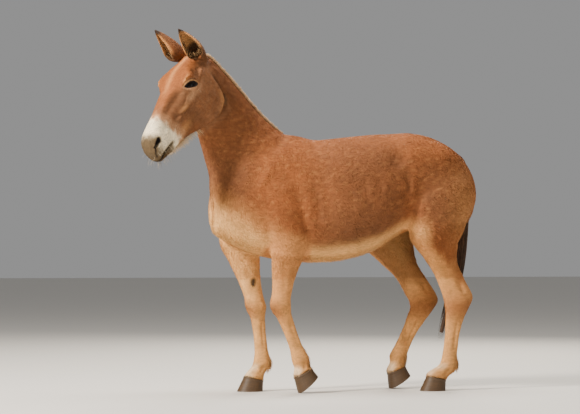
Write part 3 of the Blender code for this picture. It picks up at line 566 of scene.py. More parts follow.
earRows = (  # share of the length, half width, depth, half angle of the wall, fill, place of the back
    (0.00, 0.020, 0.022, 178, 0.85, -0.014), (0.10, 0.026, 0.027, 178, 0.85, -0.022),
    (0.19, 0.033, 0.034, 174, 0.80, -0.028), (0.28, 0.040, 0.046, 150, 0.35, -0.032),
    (0.37, 0.045, 0.060, 120, 0.00, -0.034), (0.47, 0.047, 0.068, 104, 0.00, -0.034),
    (0.59, 0.043, 0.062, 95, 0.00, -0.031), (0.72, 0.035, 0.050, 90, 0.00, -0.025),
    (0.85, 0.023, 0.034, 88, 0.00, -0.017), (0.94, 0.012, 0.018, 86, 0.00, -0.009),
    (1.00, 0.0035, 0.006, 86, 0.00, -0.003),
)
ears = {
    "base": (-0.016, 0.056, 0.030), "wall": 0.0045, "inset": 0.0012,
    "left": {"tip": (0.018, 0.088, 0.281), "opening": (0.80, 0.58, 0.0), "hand": 1},
    "right": {"tip": (0.000, -0.088, 0.291), "opening": (0.93, -0.32, 0.0), "hand": -1},
}


def earFrame(side):  # base, length, up, opening and across, in the head's frame
    own = ears[side]
    base = np.array(ears["base"]) * (1, own["hand"], 1)
    axis = np.array(own["tip"]) - base
    length = np.linalg.norm(axis)
    up = axis / length
    opening = np.array(own["opening"], float)
    opening = unit(opening - up * (opening @ up))
    return base, length, up, opening, np.cross(up, opening)


def earPoints(side, shares, turns, inner, inset=ears["inset"]):  # one place of the wall for each share and turn
    # A bent sheet: at each share of the length the wall is an arc, sin of the turn across and cos of it deep,
    # through plus and minus the row's half angle; the inner wall is the same arc drawn in by the wall's thickness.
    base, length, up, opening, across = earFrame(side)
    rows = curveThrough(earRows, 240)
    width, depth, spread, fill, back = (np.interp(shares, rows[:, 0], rows[:, k]) for k in range(1, 6))
    w, h = np.maximum(width - inset, 0.0015), np.maximum(depth - inset, 0.0025)
    size = np.maximum(np.maximum(1 - ears["wall"] / w, 0.30) * (1 - fill), 0.12) if inner else np.ones(len(shares))
    angle = np.radians(spread) * turns
    middle = base + up * (length * shares)[:, None] * 0.994 + opening * (back + depth)[:, None]
    return middle + across * (np.sin(angle) * w * size)[:, None] - opening * (np.cos(angle) * h * size)[:, None]


def earWall(side, shares, turns, *which):  # the wall as a grid: a row for each share, a column for each turn
    flat = earPoints(side, np.repeat(shares, len(turns)), np.tile(turns, len(shares)), *which)
    return flat.reshape(len(shares), len(turns), 3)


def earStump(side):  # the closed foot of an ear, up to a quarter of its length, that the skin takes in
    shares = np.linspace(0.0, 0.25, 9)
    ring = earWall(side, shares, np.linspace(-1, 1, 24)[:-1], False, 0.0015)
    for k, wider in ((0, 1.5), (1, 1.2)):
        ring[k] = ring[k].mean(axis=0) + (ring[k] - ring[k].mean(axis=0)) * wider
    verts = np.vstack([ring.reshape(-1, 3), ring[0].mean(axis=0), ring[-1].mean(axis=0)])
    return outward(meshFrom("stump", fromHead(verts), tubeFaces(*ring.shape[:2])))


def meshArrays(mesh):  # places, edges and normals
    edges = readOut(mesh.edges, "vertices", 2, np.int32)
    return readOut(mesh.vertices, "co", 3), edges, readOut(mesh.vertices, "normal", 3)


def putBack(mesh, places):
    mesh.vertices.foreach_set("co", places.astype(np.float32).ravel())
    mesh.update()


def evened(places, edges, rounds, share=1.0, pulls=(0.5, -0.53)):
    # Each vertex goes half way to its neighbours' mean, then, unless only one pull is given, a little more back out
    near, far = edges.T
    count = len(places)
    degree = np.maximum(np.bincount(edges.ravel(), minlength=count), 1)[:, None]

    def gathered(column):
        return np.bincount(near, column[far], count) + np.bincount(far, column[near], count)

    for _ in range(rounds):
        for pull in pulls:
            total = np.stack([gathered(places[:, k]) for k in range(3)], 1)
            places = places + (total / degree - places) * pull * share
    return places


def refined(mesh, picked):  # the picked faces are each parted in four
    work = bmesh.new()
    work.from_mesh(mesh)
    work.faces.ensure_lookup_table()
    edges = {edge for index in np.nonzero(picked)[0] for edge in work.faces[int(index)].edges}
    bmesh.ops.subdivide_edges(work, edges=list(edges), cuts=1, use_grid_fill=True)
    work.to_mesh(mesh)
    work.free()


def remeshed(mesh, voxel):
    obj = shown("scratch", mesh)
    remesh = obj.modifiers.new("remesh", "REMESH")
    remesh.mode = "VOXEL"
    remesh.voxel_size = voxel
    made = bpy.data.meshes.new_from_object(obj.evaluated_get(bpy.context.evaluated_depsgraph_get()))
    bpy.data.objects.remove(obj)
    return made


def drawnOnto(mesh, target):  # every point goes to the nearest place of the target's surface
    near, far = shown("scratch", mesh), shown("target", target)
    wrap = near.modifiers.new("wrap", "SHRINKWRAP")
    wrap.target = far
    made = bpy.data.meshes.new_from_object(near.evaluated_get(bpy.context.evaluated_depsgraph_get()))
    bpy.data.objects.remove(near)
    bpy.data.objects.remove(far)
    return made


def wholeFlesh():  # every piece of flesh, the eyeballs and the ears' feet, made one closed surface
    work = bmesh.new()
    for name in fleshNodes + ["eye_left", "eye_right"]:
        part = bmesh.new()
        part.from_mesh(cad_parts[name].data)
        bmesh.ops.remove_doubles(part, verts=part.verts, dist=1e-5)
        scratch = bpy.data.meshes.new("part")
        part.to_mesh(scratch)
        part.free()
        work.from_mesh(scratch)
    for side in ("left", "right"):
        work.from_mesh(earStump(side))
    mesh = bpy.data.meshes.new("flesh")
    work.to_mesh(mesh)
    work.free()
    return remeshed(mesh, skin["fineVoxel"])


def largestBody(mesh):  # drops whatever isn't joined to the main surface
    places, edges, _ = meshArrays(mesh)
    label = np.arange(len(places))
    while True:
        low = np.minimum(label[edges[:, 0]], label[edges[:, 1]])
        fresh = label.copy()
        np.minimum.at(fresh, edges[:, 0], low)
        np.minimum.at(fresh, edges[:, 1], low)
        fresh = fresh[fresh]
        if (fresh == label).all():
            break
        label = fresh
    main = np.bincount(label).argmax()
    if (label != main).any():
        work = bmesh.new()
        work.from_mesh(mesh)
        work.verts.ensure_lookup_table()
        bmesh.ops.delete(work, geom=[work.verts[int(k)] for k in np.nonzero(label != main)[0]], context="VERTS")
        work.to_mesh(mesh)
        work.free()


def inMetres(rows):
    return [(np.array(points) / 1000, width / 1000, height / 1000) for points, width, height in rows]


headMarks = inMetres((  # the curve, width and height, in millimetres
    (((215, 88, -6), (258, 83, -16), (300, 76, -14), (350, 66, -4)), 12, 4.2),  # crest
    (((256, 84, -42), (300, 74, -30), (345, 64, -12), (385, 56, 4)), 8, -4.4),  # under it
    (((225, 80, 62), (285, 64, 56), (350, 53, 50), (420, 50, 44)), 18, -5.5),  # nose hollow
    (((240, 40, 100), (320, 32, 88), (420, 28, 76)), 12, 3),  # nasal bone
    (((55, 88, 40), (95, 92, 34), (140, 94, 24)), 10, 6),  # cheek arch
    (((60, 80, 12), (100, 90, 8), (150, 92, 0)), 9, -3),
    # cheek's rear edge
    (
        (
            (50, 79, -30), (48, 80, -75), (54, 82, -110), (62, 84, -141), (76, 86, -172), (102, 86, -184),
            (145, 86, -188), (205, 82, -184), (262, 74, -166),
        ),
        14, 10,
    ),
    (cheekEdge * 1000, 11, -22),  # behind it
    (((50, 70, -206), (90, 70, -226), (150, 70, -230), (220, 66, -222)), 13, -8),  # the throat under it
    (((320, 60, -150), (300, 66, -120), (285, 78, -80)), 13, -5.5),  # front of the cheek muscle
    (((300, 64, -60), (350, 56, -90), (400, 48, -110)), 8, -1.4),  # cheek lines
    (((320, 62, -45), (380, 55, -62), (440, 52, -72)), 8, -1),
    (((310, 60, -110), (370, 52, -108), (430, 48, -100)), 6, -2.5),
    (((395, 52, 12), (440, 55, -2), (480, 57, -14)), 8, 2.5),  # lip lifters
    (((462, 58, -56), (500, 58, -52), (545, 54, -48)), 10, 3),  # upper lip
    (((478, 52, -94), (520, 48, -92), (555, 36, -90)), 14, -5),  # lower lip
    (((500, 30, -118), (540, 26, -114), (580, 14, -104)), 22, -9),  # chin
    (((440, 58, -54), (446, 56, -78), (460, 52, -98)), 7, -3.2),  # behind the mouth's corner
    (((530, 60, 38), (556, 62, 28), (576, 58, 18), (590, 53, 8)), 8, 5),  # nostril's front rim
    (((527, 62, 8), (540, 62, -5), (556, 61, -12), (572, 57, -14)), 7, 4.8),  # its rear rim
    (((150, 104, 86), (185, 104, 94), (222, 92, 84)), 10, 4),  # brow
    (((100, 82, 76), (120, 92, 82), (138, 96, 80)), 16, -3.5),  # hollow over the eye
    (((235, 86, 30), (262, 80, 18), (288, 74, 6)), 6, -2.8),  # tear line
    (((45, 70, 75), (85, 60, 104), (130, 46, 118)), 14, 2.8),  # forehead muscle
    (((10, 80, 20), (40, 86, 30), (70, 90, 20)), 9, -3.5),  # below the ear
))


def sculptedHead(q, e):  # how far each place of the head is raised along its normal; q has both sides on the left
    rise = np.zeros(len(q))
    for points, width, height in headMarks:
        rise += height * stroke(q, points, width)
    rise -= 0.0105 * stroke(q, mouthLine, 0.0040, 0.04)  # the parting of the lips
    outer = fade(0.012, 0.024, q[:, 1])
    away, along = seen(q, nostril["line"])
    rise -= nostril["depth"] * np.exp(-((away / nostril["width"] / (1.05 - 0.50 * along)) ** 3)) * outer
    away, along = seen(q, nostril["split"])
    rise -= 0.0070 * np.exp(-((away / 0.0036) ** 2)) * fade(1.0, 0.7, along) * outer
    wrinkles = 0.0002 * np.sin(q[:, 2] * 2 * math.pi / 0.0085)
    rise += wrinkles * fade(0.555, 0.585, q[:, 0] + 0.3 * q[:, 2]) * fade(0.02, 0.0, q[:, 2])
    rim = almond(e, *eyes["opening"])
    front = fade(0.002, 0.016, e[:, 2])
    over = fade(0.006, -0.006, e[:, 1])
    for reach, height, width in (
        (0.0125, -0.0024, 0.0026), (0.0170, 0.0016, 0.003), (0.0225, -0.0024, 0.003), (0.0285, 0.0022, 0.0036),
    ):
        rise += height * np.exp(-(((rim - reach) / width) ** 2)) * front * over * fade(0.050, 0.030, np.abs(e[:, 0]))
    rise += (
        -0.0018 * np.exp(-(((rim - 0.0120) / 0.0030) ** 2)) * front * (1 - over) * fade(0.040, 0.02, np.abs(e[:, 0]))
    )
    return rise


bodyMarks = inMetres((  # in the stance's frame, for both sides
    (((560, 120, 1235), (600, 150, 1130), (640, 160, 1030)), 34, 3.5),  # shoulder's front
    (((610, 100, 1270), (650, 130, 1160), (690, 140, 1060)), 26, -4.5),
    (((420, 170, 1260), (500, 190, 1140), (570, 200, 1020)), 20, 4),  # shoulder blade's spine
    # behind the triceps
    (((330, 200, 1260), (285, 215, 1150), (255, 225, 1050), (238, 228, 950), (240, 215, 850), (262, 195, 775)), 18, -4),
    (((350, 205, 1170), (310, 215, 1060), (288, 215, 960), (290, 205, 870)), 32, 4.5),
    (((290, 200, 1250), (240, 215, 1140), (205, 225, 1040), (190, 228, 940), (195, 215, 850)), 50, -6),
    (((470, 165, 860), (415, 185, 838), (355, 190, 818), (290, 185, 785)), 14, -8.5),  # over the forearm
    (((480, 170, 900), (420, 190, 875), (360, 195, 855)), 19, 6),
    (((440, 150, 790), (380, 160, 770), (330, 150, 740)), 22, 4),
    (((740, 28, 1020), (752, 20, 940), (740, 10, 860)), 18, -9),  # between the breast muscles
    (((660, 150, 930), (600, 155, 840), (540, 150, 780)), 18, -5),
    (((-228, 250, 1160), (-248, 245, 1090), (-252, 240, 1010)), 17, -6.5),  # flank crease
    (((-205, 245, 1060), (-262, 235, 990), (-310, 215, 900)), 24, -9),
    (((-150, 250, 1245), (-190, 250, 1215), (-222, 240, 1170)), 42, -8.5),  # hip hollow
    (((-260, 220, 1285), (-275, 240, 1215), (-285, 245, 1150)), 30, 3),  # point of the hip
    (((-590, 165, 1180), (-600, 170, 1060), (-570, 170, 940), (-530, 150, 840)), 18, -5.5),  # back of the thigh
    (((100, 235, 1240), (80, 262, 1080), (60, 250, 920)), 16, -1.6),  # ribs, faintly
    (((20, 240, 1240), (0, 268, 1080), (-20, 255, 930)), 16, -1.6),
    (((-60, 240, 1240), (-80, 268, 1090), (-100, 255, 950)), 16, -1.6),
))
neckMarks = inMetres((  # of the left side; also mirrored about the neck's middle, which lies a little to the left
    (((835, 75, 1360), (790, 85, 1240), (745, 105, 1130), (715, 110, 1050)), 18, -8.5),  # jugular groove
    (((870, 90, 1380), (825, 75, 1250), (785, 70, 1130)), 20, 3),
    (((760, 130, 1560), (700, 130, 1420), (620, 150, 1290)), 30, -3),
    (((720, 110, 1620), (640, 105, 1500), (540, 110, 1400)), 20, 3),
))


def sculptedBody(d):  # the same for the body, in the stance's own frame
    m = onLeft(d)
    rise = np.zeros(len(d))
    for points, width, height in bodyMarks:
        rise += height * stroke(m, points, width, 0.35)
    for points, width, height in neckMarks:
        rise += height * stroke(d, points, width, 0.3)
        rise += height * stroke(d * (1, -1, 1) + (0, 0.06, 0), points, width, 0.3)
    return rise


legJoints = {  # elbow, knee, fetlock and foot, or stifle, hock, fetlock and foot: x and z; then y
    "foreLeft": (((0.365, 0.800), (0.415, 0.450), (0.309, 0.172), (0.292, 0.100)), 0.105),
    "foreRight": (((0.565, 0.790), (0.486, 0.442), (0.456, 0.156), (0.499, 0.066)), -0.105),
    "hindLeft": (((-0.430, 0.830), (-0.545, 0.462), (-0.508, 0.135), (-0.441, 0.066)), 0.118),
    "hindRight": (((-0.270, 0.800), (-0.438, 0.452), (-0.306, 0.172), (-0.300, 0.100)), -0.118),
}


def sculptedLegs(d):  # tendons, knees and hocks: grooves and bumps at shares of each bone, back and sideways from it
    rise = np.zeros(len(d))
    for name, (joints, y) in legJoints.items():
        near = np.abs(d[:, 1] - y) < 0.085
        near &= (d[:, 2] < 0.80) & ((d[:, 0] > 0.1) == name.startswith("fore"))
        if not near.any():
            continue
        local = d[near]
        points = [np.array((x, y, z)) for x, z in joints]

        def place(bone, share, back, aside):
            run = points[bone + 1] - points[bone]
            behind = unit(np.array((run[2], 0.0, -run[0])))
            return points[bone] + run * share + behind * back + np.array((0.0, aside, 0.0))

        marks = []
        for aside in (0.030, -0.030):
            marks += [
                # tendon groove
                (((1, 0.20, 0.016, aside), (1, 0.50, 0.014, aside), (1, 0.82, 0.014, aside)), 0.009, -0.0048),
                (
                    ((1, 0.25, 0.034, aside * 0.6), (1, 0.55, 0.034, aside * 0.6), (1, 0.85, 0.036, aside * 0.6)),
                    0.010, 0.0022,
                ),
                # Between the muscles
                (
                    ((0, 0.35, -0.02, aside * 1.7), (0, 0.62, -0.01, aside * 1.5), (0, 0.84, 0.0, aside * 1.3)),
                    0.013, -0.0034,
                ),
                (
                    ((2, 0.05, 0.016, aside * 1.15), (2, 0.35, 0.014, aside * 1.1), (2, 0.70, 0.012, aside * 1.1)),
                    0.009, -0.0030,
                ),
            ]
            if name.startswith("hind"):  # before the hamstring
                marks.append(
                    (((0, 0.62, 0.045, aside), (0, 0.78, 0.050, aside), (0, 0.92, 0.055, aside)), 0.014, -0.0085)
                )
            else:
                marks.append((((0, 0.93, 0.026, aside * 1.4), (1, 0.05, 0.028, aside * 1.4)), 0.010, 0.0028))
        marks.append((((1, 0.03, -0.045, 0.012), (1, 0.06, -0.047, 0.0), (1, 0.03, -0.045, -0.012)), 0.012, 0.0020))
        marks.append((((1, 0.17, -0.040, 0.015), (1, 0.18, -0.042, 0.0), (1, 0.17, -0.040, -0.015)), 0.009, -0.0022))
        for where, width, height in marks:
            rise[near] += height * stroke(local, [place(*w) for w in where], width, 0.25)
    return rise


def makeSkin():
    fine = wholeFlesh()
    largestBody(fine)
    places, edges, normals = meshArrays(fine)
    places = evened(places, edges, skin["evening"])
    putBack(fine, places)
    mesh = remeshed(fine.copy(), skin["voxel"])
    report(f"flesh joined, {len(places)} points, then {len(mesh.vertices)}")
    for level in range(4):  # finer over the head and legs, then over the features, and finest round the eyes
        middles = readOut(mesh.polygons, "center", 3)
        q = onLeft(toHead(middles))
        e = toEye(q)
        onHead = headShare(q)
        if level == 0:
            picked = (
                (fade(-0.12, -0.10, q[:, 0] - 0.004) * (q[:, 2] > -0.25) * (q[:, 0] < 0.7) > 0.5)
                | (middles[:, 2] < 0.56)
            )
        elif level == 1:
            picked = (spot(q, (0.17, 0.085, 0.05), (0.085, 0.07, 0.06)) > 0.37) | ((q[:, 0] > 0.43) & (onHead > 0.5))
            picked |= stroke(q, cheekEdge, 0.022, 0.05) > 0.37
            picked |= (np.abs(q[:, 0] - 0.32) < 0.12) & (q[:, 2] > -0.07) & (q[:, 2] < 0.02) & (q[:, 1] > 0.03)
        elif level == 2:
            picked = (np.abs(e[:, 0]) < 0.056) & (np.abs(e[:, 1]) < 0.044) & (e[:, 2] > 0.000) & (e[:, 2] < 0.07)
            picked |= (
                (spot(q, (0.562, 0.056, 0.0), (0.036, 0.03, 0.036)) > 0.37)
                | (stroke(q, mouthLine, 0.013, 0.02) > 0.37)
            )
        else:
            picked = (
                (almond(e, *eyes["opening"]) < 0.008) & (np.abs(e[:, 0]) < 0.040) & (e[:, 2] > 0.006)
                & (e[:, 2] < 0.06)
            )
        refined(mesh, picked)
    places, edges, normals = meshArrays(mesh)
    putBack(mesh, evened(places, edges, 4))
    mesh = drawnOnto(mesh, fine)
    places, edges, normals = meshArrays(mesh)
    places = evened(places, edges, 6, (0.35 + 0.65 * headShare(onLeft(toHead(places))))[:, None])
    d = onLeft(toStance(places))
    smooth = np.maximum(
        spot(d, (0.54, 0.19, 1.06), (0.26, 0.15, 0.20)), spot(d, (-0.49, 0.15, 1.22), (0.24, 0.20, 0.19)),
    )
    # Where the legs' upper ends meet the trunk
    places = evened(places, edges, 90, np.clip(1.8 * smooth, 0, 1)[:, None])
    croup = np.clip(1.6 * spot(d, (-0.45, 0.11, 1.27), (0.20, 0.17, 0.12)), 0, 1)[:, None]
    front = np.clip(1.3 * spot(d, (0.58, 0.17, 1.08), (0.13, 0.12, 0.13)), 0, 1)[:, None]
    places = evened(places, edges, 110, np.maximum(croup, 0.6 * front), (0.5,))  # broader lumps, and the croup swells
    places = places + normals * 0.010 * croup
    putBack(mesh, places)

    places, edges, normals = meshArrays(mesh)
    q = onLeft(toHead(places))
    d = toStance(places)
    onHead = headShare(q)
    depth = skin["depthBody"] + (skin["depthLeg"] - skin["depthBody"]) * fade(0.75, 0.6, d[:, 2])
    depth = depth + (skin["depthFace"] - depth) * onHead
    rise = sculptedHead(q, toEye(q)) * fade(0.0, 0.12, onHead) + (sculptedBody(d) + sculptedLegs(d)) * (1 - onHead)
    places = places + normals * (rise - depth)[:, None]

    # Lids: inside the almond the skin drops behind the eyeball, outside it follows the ball at the lid's thickness
    local = toHead(places)
    mirror = np.where(local[:, 1:2] < 0, (1.0, -1.0, 1.0), (1.0, 1.0, 1.0))
    q = local * mirror
    e = toEye(q)
    rim = almond(e, *eyes["opening"])
    radius = np.linalg.norm(e, axis=1)
    close = (e[:, 2] > -0.004) & (radius < 0.085) & (onHead > 0.5)
    lid = eyes["radius"] + eyes["lidThickness"] * fade(-0.0010, 0.0026, rim)
    sunk = eyes["radius"] - 0.0045
    wanted = np.where(rim < -0.0010, sunk + (lid - sunk) * fade(-0.0034, -0.0010, rim), lid)
    keep = 1 - fade(eyes["lidReach"], 0.006, rim) * fade(-0.004, 0.016, e[:, 2])
    goal = wanted + (radius - wanted) * np.clip(keep, 0, 1)
    e[close] *= (goal / radius)[close, None]
    q[close] = fromEye(e[close])
    local[close] = (q * mirror)[close]
    places[close] = fromHead(local[close])

    putBack(mesh, places)
    mesh.shade_smooth()
    return mesh


skinMesh = makeSkin()
skinPlaces, _, skinNormals = meshArrays(skinMesh)
report(f"skin sculpted, {len(skinPlaces)} points")


# Shader groups
def newGroup(name, inputs, outputs):  # each entry: name, socket type, value
    group = bpy.data.node_groups.new(name, "ShaderNodeTree")
    for label, kind, value in inputs:
        made = group.interface.new_socket(label, in_out="INPUT", socket_type=kind)
        made.default_value = value
    for label, kind in outputs:
        group.interface.new_socket(label, in_out="OUTPUT", socket_type=kind)
    return group, group.nodes.new("NodeGroupInput"), group.nodes.new("NodeGroupOutput")


def mathNode(tree, operation, first, second):
    node = tree.nodes.new("ShaderNodeMath")
    node.operation = operation
    for socket, value in zip(node.inputs, (first, second)):
        if hasattr(value, "links"):
            tree.links.new(value, socket)
        else:
            socket.default_value = value
    return node.outputs[0]


def hairGroup():  # fine lengthwise hair: two stretched noises that lighten, darken and raise the surface
    group, given, out = newGroup(
        "hairGrain",
        [("Colour", "NodeSocketColor", (0.5, 0.3, 0.2, 1)), ("Place", "NodeSocketVector", (0, 0, 0)),
         ("Fineness", "NodeSocketFloat", 160.0), ("Contrast", "NodeSocketFloat", 0.3)],
        [("Colour", "NodeSocketColor"), ("Height", "NodeSocketFloat")],
    )
    heights = []
    for scale, detail in ((1.0, 3.0), (0.22, 2.0)):
        noise = group.nodes.new("ShaderNodeTexNoise")
        noise.inputs["Detail"].default_value = detail
        group.links.new(given.outputs["Place"], noise.inputs["Vector"])
        group.links.new(mathNode(group, "MULTIPLY", given.outputs["Fineness"], scale), noise.inputs["Scale"])
        heights.append(noise.outputs["Fac"])
    coarse, fine = (mathNode(group, "MULTIPLY", each, share) for each, share in zip(heights, (0.65, 0.35)))
    height = mathNode(group, "ADD", coarse, fine)
    centred = mathNode(group, "SUBTRACT", height, 0.5)
    contrast = mathNode(group, "MULTIPLY", centred, given.outputs["Contrast"])
    gain = mathNode(group, "ADD", mathNode(group, "MULTIPLY", contrast, 4.0), 1.0)
    tinted = group.nodes.new("ShaderNodeVectorMath")
    tinted.operation = "SCALE"
    group.links.new(given.outputs["Colour"], tinted.inputs[0])
    group.links.new(gain, tinted.inputs["Scale"])
    group.links.new(tinted.outputs[0], out.inputs["Colour"])
    group.links.new(height, out.inputs["Height"])
    return group


hairGrain = hairGroup()


def newFinish(name, roughness):
    made = bpy.data.materials.new(name)
    made.use_nodes = True
    shader = made.node_tree.nodes["Principled BSDF"]
    shader.inputs["Roughness"].default_value = roughness
    return made, made.node_tree.nodes, made.node_tree.links, shader


def mapped(nodes, links, source, scale):
    mapping = nodes.new("ShaderNodeMapping")
    mapping.inputs["Scale"].default_value = scale
    links.new(source, mapping.inputs["Vector"])
    return mapping.outputs["Vector"]


def bumped(nodes, links, shader, height, strength, distance):
    bump = nodes.new("ShaderNodeBump")
    bump.inputs["Strength"].default_value = strength
    bump.inputs["Distance"].default_value = distance
    links.new(height, bump.inputs["Height"])
    links.new(bump.outputs["Normal"], shader.inputs["Normal"])


def coatFinish(name, fineness, contrast, bump, roughness, stretch=(0.25, 1.0, 0.6)):
    made, nodes, links, shader = newFinish(name, roughness)
    colour = nodes.new("ShaderNodeAttribute")
    colour.attribute_name = "coat"
    place = nodes.new("ShaderNodeTexCoord")
    grain = nodes.new("ShaderNodeGroup")
    grain.node_tree = hairGrain
    grain.inputs["Fineness"].default_value = fineness
    grain.inputs["Contrast"].default_value = contrast
    links.new(colour.outputs["Color"], grain.inputs["Colour"])
    links.new(mapped(nodes, links, place.outputs["Object"], stretch), grain.inputs["Place"])
    links.new(grain.outputs["Colour"], shader.inputs["Base Color"])
    bumped(nodes, links, shader, grain.outputs["Height"], bump, 0.002)
    shader.inputs["Specular IOR Level"].default_value = 0.15
    return made


finishes = {  # fineness, contrast, bump, roughness, and the grain's scale along x, y and z
    "skin": coatFinish("shortCoat", 150.0, 0.42, 0.35, 0.75),
    "coat": coatFinish("coatTufts", 90.0, 0.20, 0.0, 0.62),
    "ear": coatFinish("earHair", 190.0, 0.40, 0.3, 0.75, (1.0, 1.0, 0.3)),
    "mane": coatFinish("maneBristle", 120.0, 0.25, 0.0, 0.65),
    "tail": coatFinish("tailHair", 140.0, 0.30, 0.0, 0.45),
}

tint(skinMesh, coatColourAndShading(skinPlaces, skinNormals))
piece("skin", skinMesh, finishes["skin"], fleshNodes)
report("skin coloured")


# Eyes
def eyeFinish():  # the ball's own colours under a wet coat
    made, nodes, links, shader = newFinish("wetEye", 0.25)
    colour = nodes.new("ShaderNodeAttribute")
    colour.attribute_name = "coat"
    links.new(colour.outputs["Color"], shader.inputs["Base Color"])
    shader.inputs["Specular IOR Level"].default_value = 0.08
    shader.inputs["Coat Weight"].default_value = 0.12
    shader.inputs["Coat Roughness"].default_value = 0.03
    return made


wetEye = eyeFinish()
eyeTones = {"rim": (0.026, 0.018, 0.013), "iris": (0.012, 0.006, 0.003), "pupil": (0.004, 0.004, 0.005)}
for side, hand in (("left", 1), ("right", -1)):
    # A ball of latitude rings about the way the eye looks, with the cornea as a low dome on its front
    rows, columns = eyes["rings"]
    down = np.linspace(0.02, math.pi - 0.02, rows)[:, None]
    turn = np.arange(columns)[None, :] * 2 * math.pi / columns
    dome = 1 + 0.018 * np.exp(-((down / 0.42) ** 2))
    e = np.stack([np.sin(down) * np.cos(turn), np.sin(down) * np.sin(turn), np.cos(down) * np.ones_like(turn)], -1)
    e = (e * dome[..., None] * (eyes["radius"] - 0.0002)).reshape(-1, 3)
    e = np.vstack([e, [(0, 0, eyes["radius"] * 1.017), (0, 0, -eyes["radius"])]])
    q = fromEye(e)
    q[:, 1] *= hand
    eyeMesh = outward(meshFrom("eye", fromHead(q), tubeFaces(rows, columns)))
    iris = fade(0.0250, 0.0235, np.hypot(e[:, 0], e[:, 1]))
    pupil = fade(1.1, 0.9, np.hypot(e[:, 0] / 0.0125, e[:, 1] / 0.0065)) * (e[:, 2] > 0)
    tint(eyeMesh, layered(plain(eyeTones["rim"], len(e)), ((eyeTones["iris"], iris), (eyeTones["pupil"], pupil))))
    piece("eye" + side.capitalize(), eyeMesh, wetEye, ["eye_" + side])
report("eyes set")


# Ears
earLook = {"rows": 46, "columns": 30}


def earColour(shares, turns, places):  # the back of an ear, its golden rim and its dark tip
    return layered(plain((0.240, 0.092, 0.035), len(shares)), (
        ((0.29, 0.105, 0.038), 0.75 * fade(0.45, 0.0, shares)),
        ((0.12, 0.055, 0.025), 0.45 * fade(0.5, 0.9, shares) + 0.2 * cloud(places, 0.03, 22)),
        ((0.60, 0.270, 0.085), 0.90 * fade(0.80, 0.93, np.abs(turns)) * fade(0.40, 0.54, shares)),
        ((0.105, 0.046, 0.018), 0.90 * fade(0.3, 0.9, np.abs(turns)) * fade(0.56, 0.40, shares)),
        ((0.150, 0.058, 0.022), 0.70 * fade(0.30, 0.10, shares)),
        ((0.045, 0.025, 0.016), fade(0.84, 0.95, shares + 0.03 * np.abs(turns))),
    ))


for side in ("left", "right"):
    rows, columns = earLook["rows"], earLook["columns"]
    shares = np.linspace(0.03, 1.0, rows)
    turns = np.sin(np.linspace(-1, 1, columns) * math.pi / 2)
    outer = earWall(side, shares, turns, False)
    inner = earWall(side, shares, turns, True)
    ripple = np.sin(shares * 47)[:, None] * np.sin(turns * 5.0)[None, :]
    inner = inner + (ripple * 0.0010)[..., None] * earFrame(side)[3]
    ring = np.concatenate([outer, inner[:, ::-1]], 1)  # outer wall, over the rim, and back along the inner wall
    verts = ring.reshape(-1, 3)
    columnsAll = ring.shape[1]
    k = np.arange(columns - 1)
    foot = np.column_stack([k, k + 1, columnsAll - 2 - k, columnsAll - 1 - k])
    faces = [gridFaces(rows, columnsAll, True), foot, foot + (rows - 1) * columnsAll]
    earMesh = outward(meshFrom("ear", fromHead(verts), faces))
    share = np.repeat(shares, columnsAll)
    turned = np.tile(np.concatenate([turns, turns[::-1]]), rows)
    isInner = np.tile(np.arange(columnsAll) >= columns, rows)
    colour = earColour(share, turned, verts)
    within = layered(plain((0.430, 0.210, 0.075), len(verts)), (
        ((0.08, 0.042, 0.018), 0.60 * fade(0.2, 0.9, cloud(verts, 0.016, 21))),
        ((0.07, 0.038, 0.020), 0.65 * fade(0.55, 0.0, np.abs(turned)) * fade(0.8, 0.2, share)),
        ((0.060, 0.029, 0.014), 0.95 * fade(0.54, 0.38, share)),
        ((0.60, 0.270, 0.085), 0.85 * fade(0.84, 0.96, np.abs(turned)) * fade(0.40, 0.54, share)),
        ((0.045, 0.025, 0.016), fade(0.86, 0.97, share)),
    ))
    tint(earMesh, np.where(isInner[:, None], within, colour))
    piece("ear" + side.capitalize(), earMesh, finishes["ear"], ["ear_" + side])
report("ears shaped")


# Hooves
hoofShape = {
    "toeReach": 0.090, "heelReach": 0.046, "depth": 0.066, "halfWidth": 0.060,
    "coronetHalfLength": 0.053, "coronetHalfWidth": 0.046, "coronetSlope": 14.0, "rings": 9, "ringRise": 0.0005,
    "around": 64, "down": 44, "tones": ((0.30, (0.040, 0.021, 0.007)), (0.72, (0.098, 0.050, 0.016))),
}


def hoofFinish():  # horn: growth rings round it and fine upright fibres, both along the hoof's own map
    made, nodes, links, shader = newFinish("hoofHorn", 0.55)
    own = nodes.new("ShaderNodeUVMap")
    own.uv_map = "hoofMap"
    heights = []
    for scale in ((1.5, 14.0, 1.0), (60.0, 1.2, 1.0)):
        noise = nodes.new("ShaderNodeTexNoise")
        noise.inputs["Scale"].default_value = 1.0
        noise.inputs["Detail"].default_value = 3.0
        links.new(mapped(nodes, links, own.outputs["UV"], scale), noise.inputs["Vector"])
        heights.append(noise.outputs["Fac"])
    rings, fibres = (mathNode(made.node_tree, "MULTIPLY", height, share) for height, share in zip(heights, (0.6, 0.4)))
    total = mathNode(made.node_tree, "ADD", rings, fibres)
    ramp = nodes.new("ShaderNodeValToRGB")
    for stop, (position, tone) in zip(ramp.color_ramp.elements, hoofShape["tones"]):
        stop.position, stop.color = position, (*tone, 1)
    links.new(total, ramp.inputs["Fac"])
    links.new(ramp.outputs["Color"], shader.inputs["Base Color"])
    bumped(nodes, links, shader, total, 0.5, 0.0015)
    return made


hoofHorn = hoofFinish()
hoofTips = {  # x, y and the tip in degrees
    "fore_left": (0.292, 0.105, 42.0), "fore_right": (0.499, -0.105, 0.0),
    "hind_left": (-0.441, 0.118, 0.0), "hind_right": (-0.300, -0.118, 33.0),
}


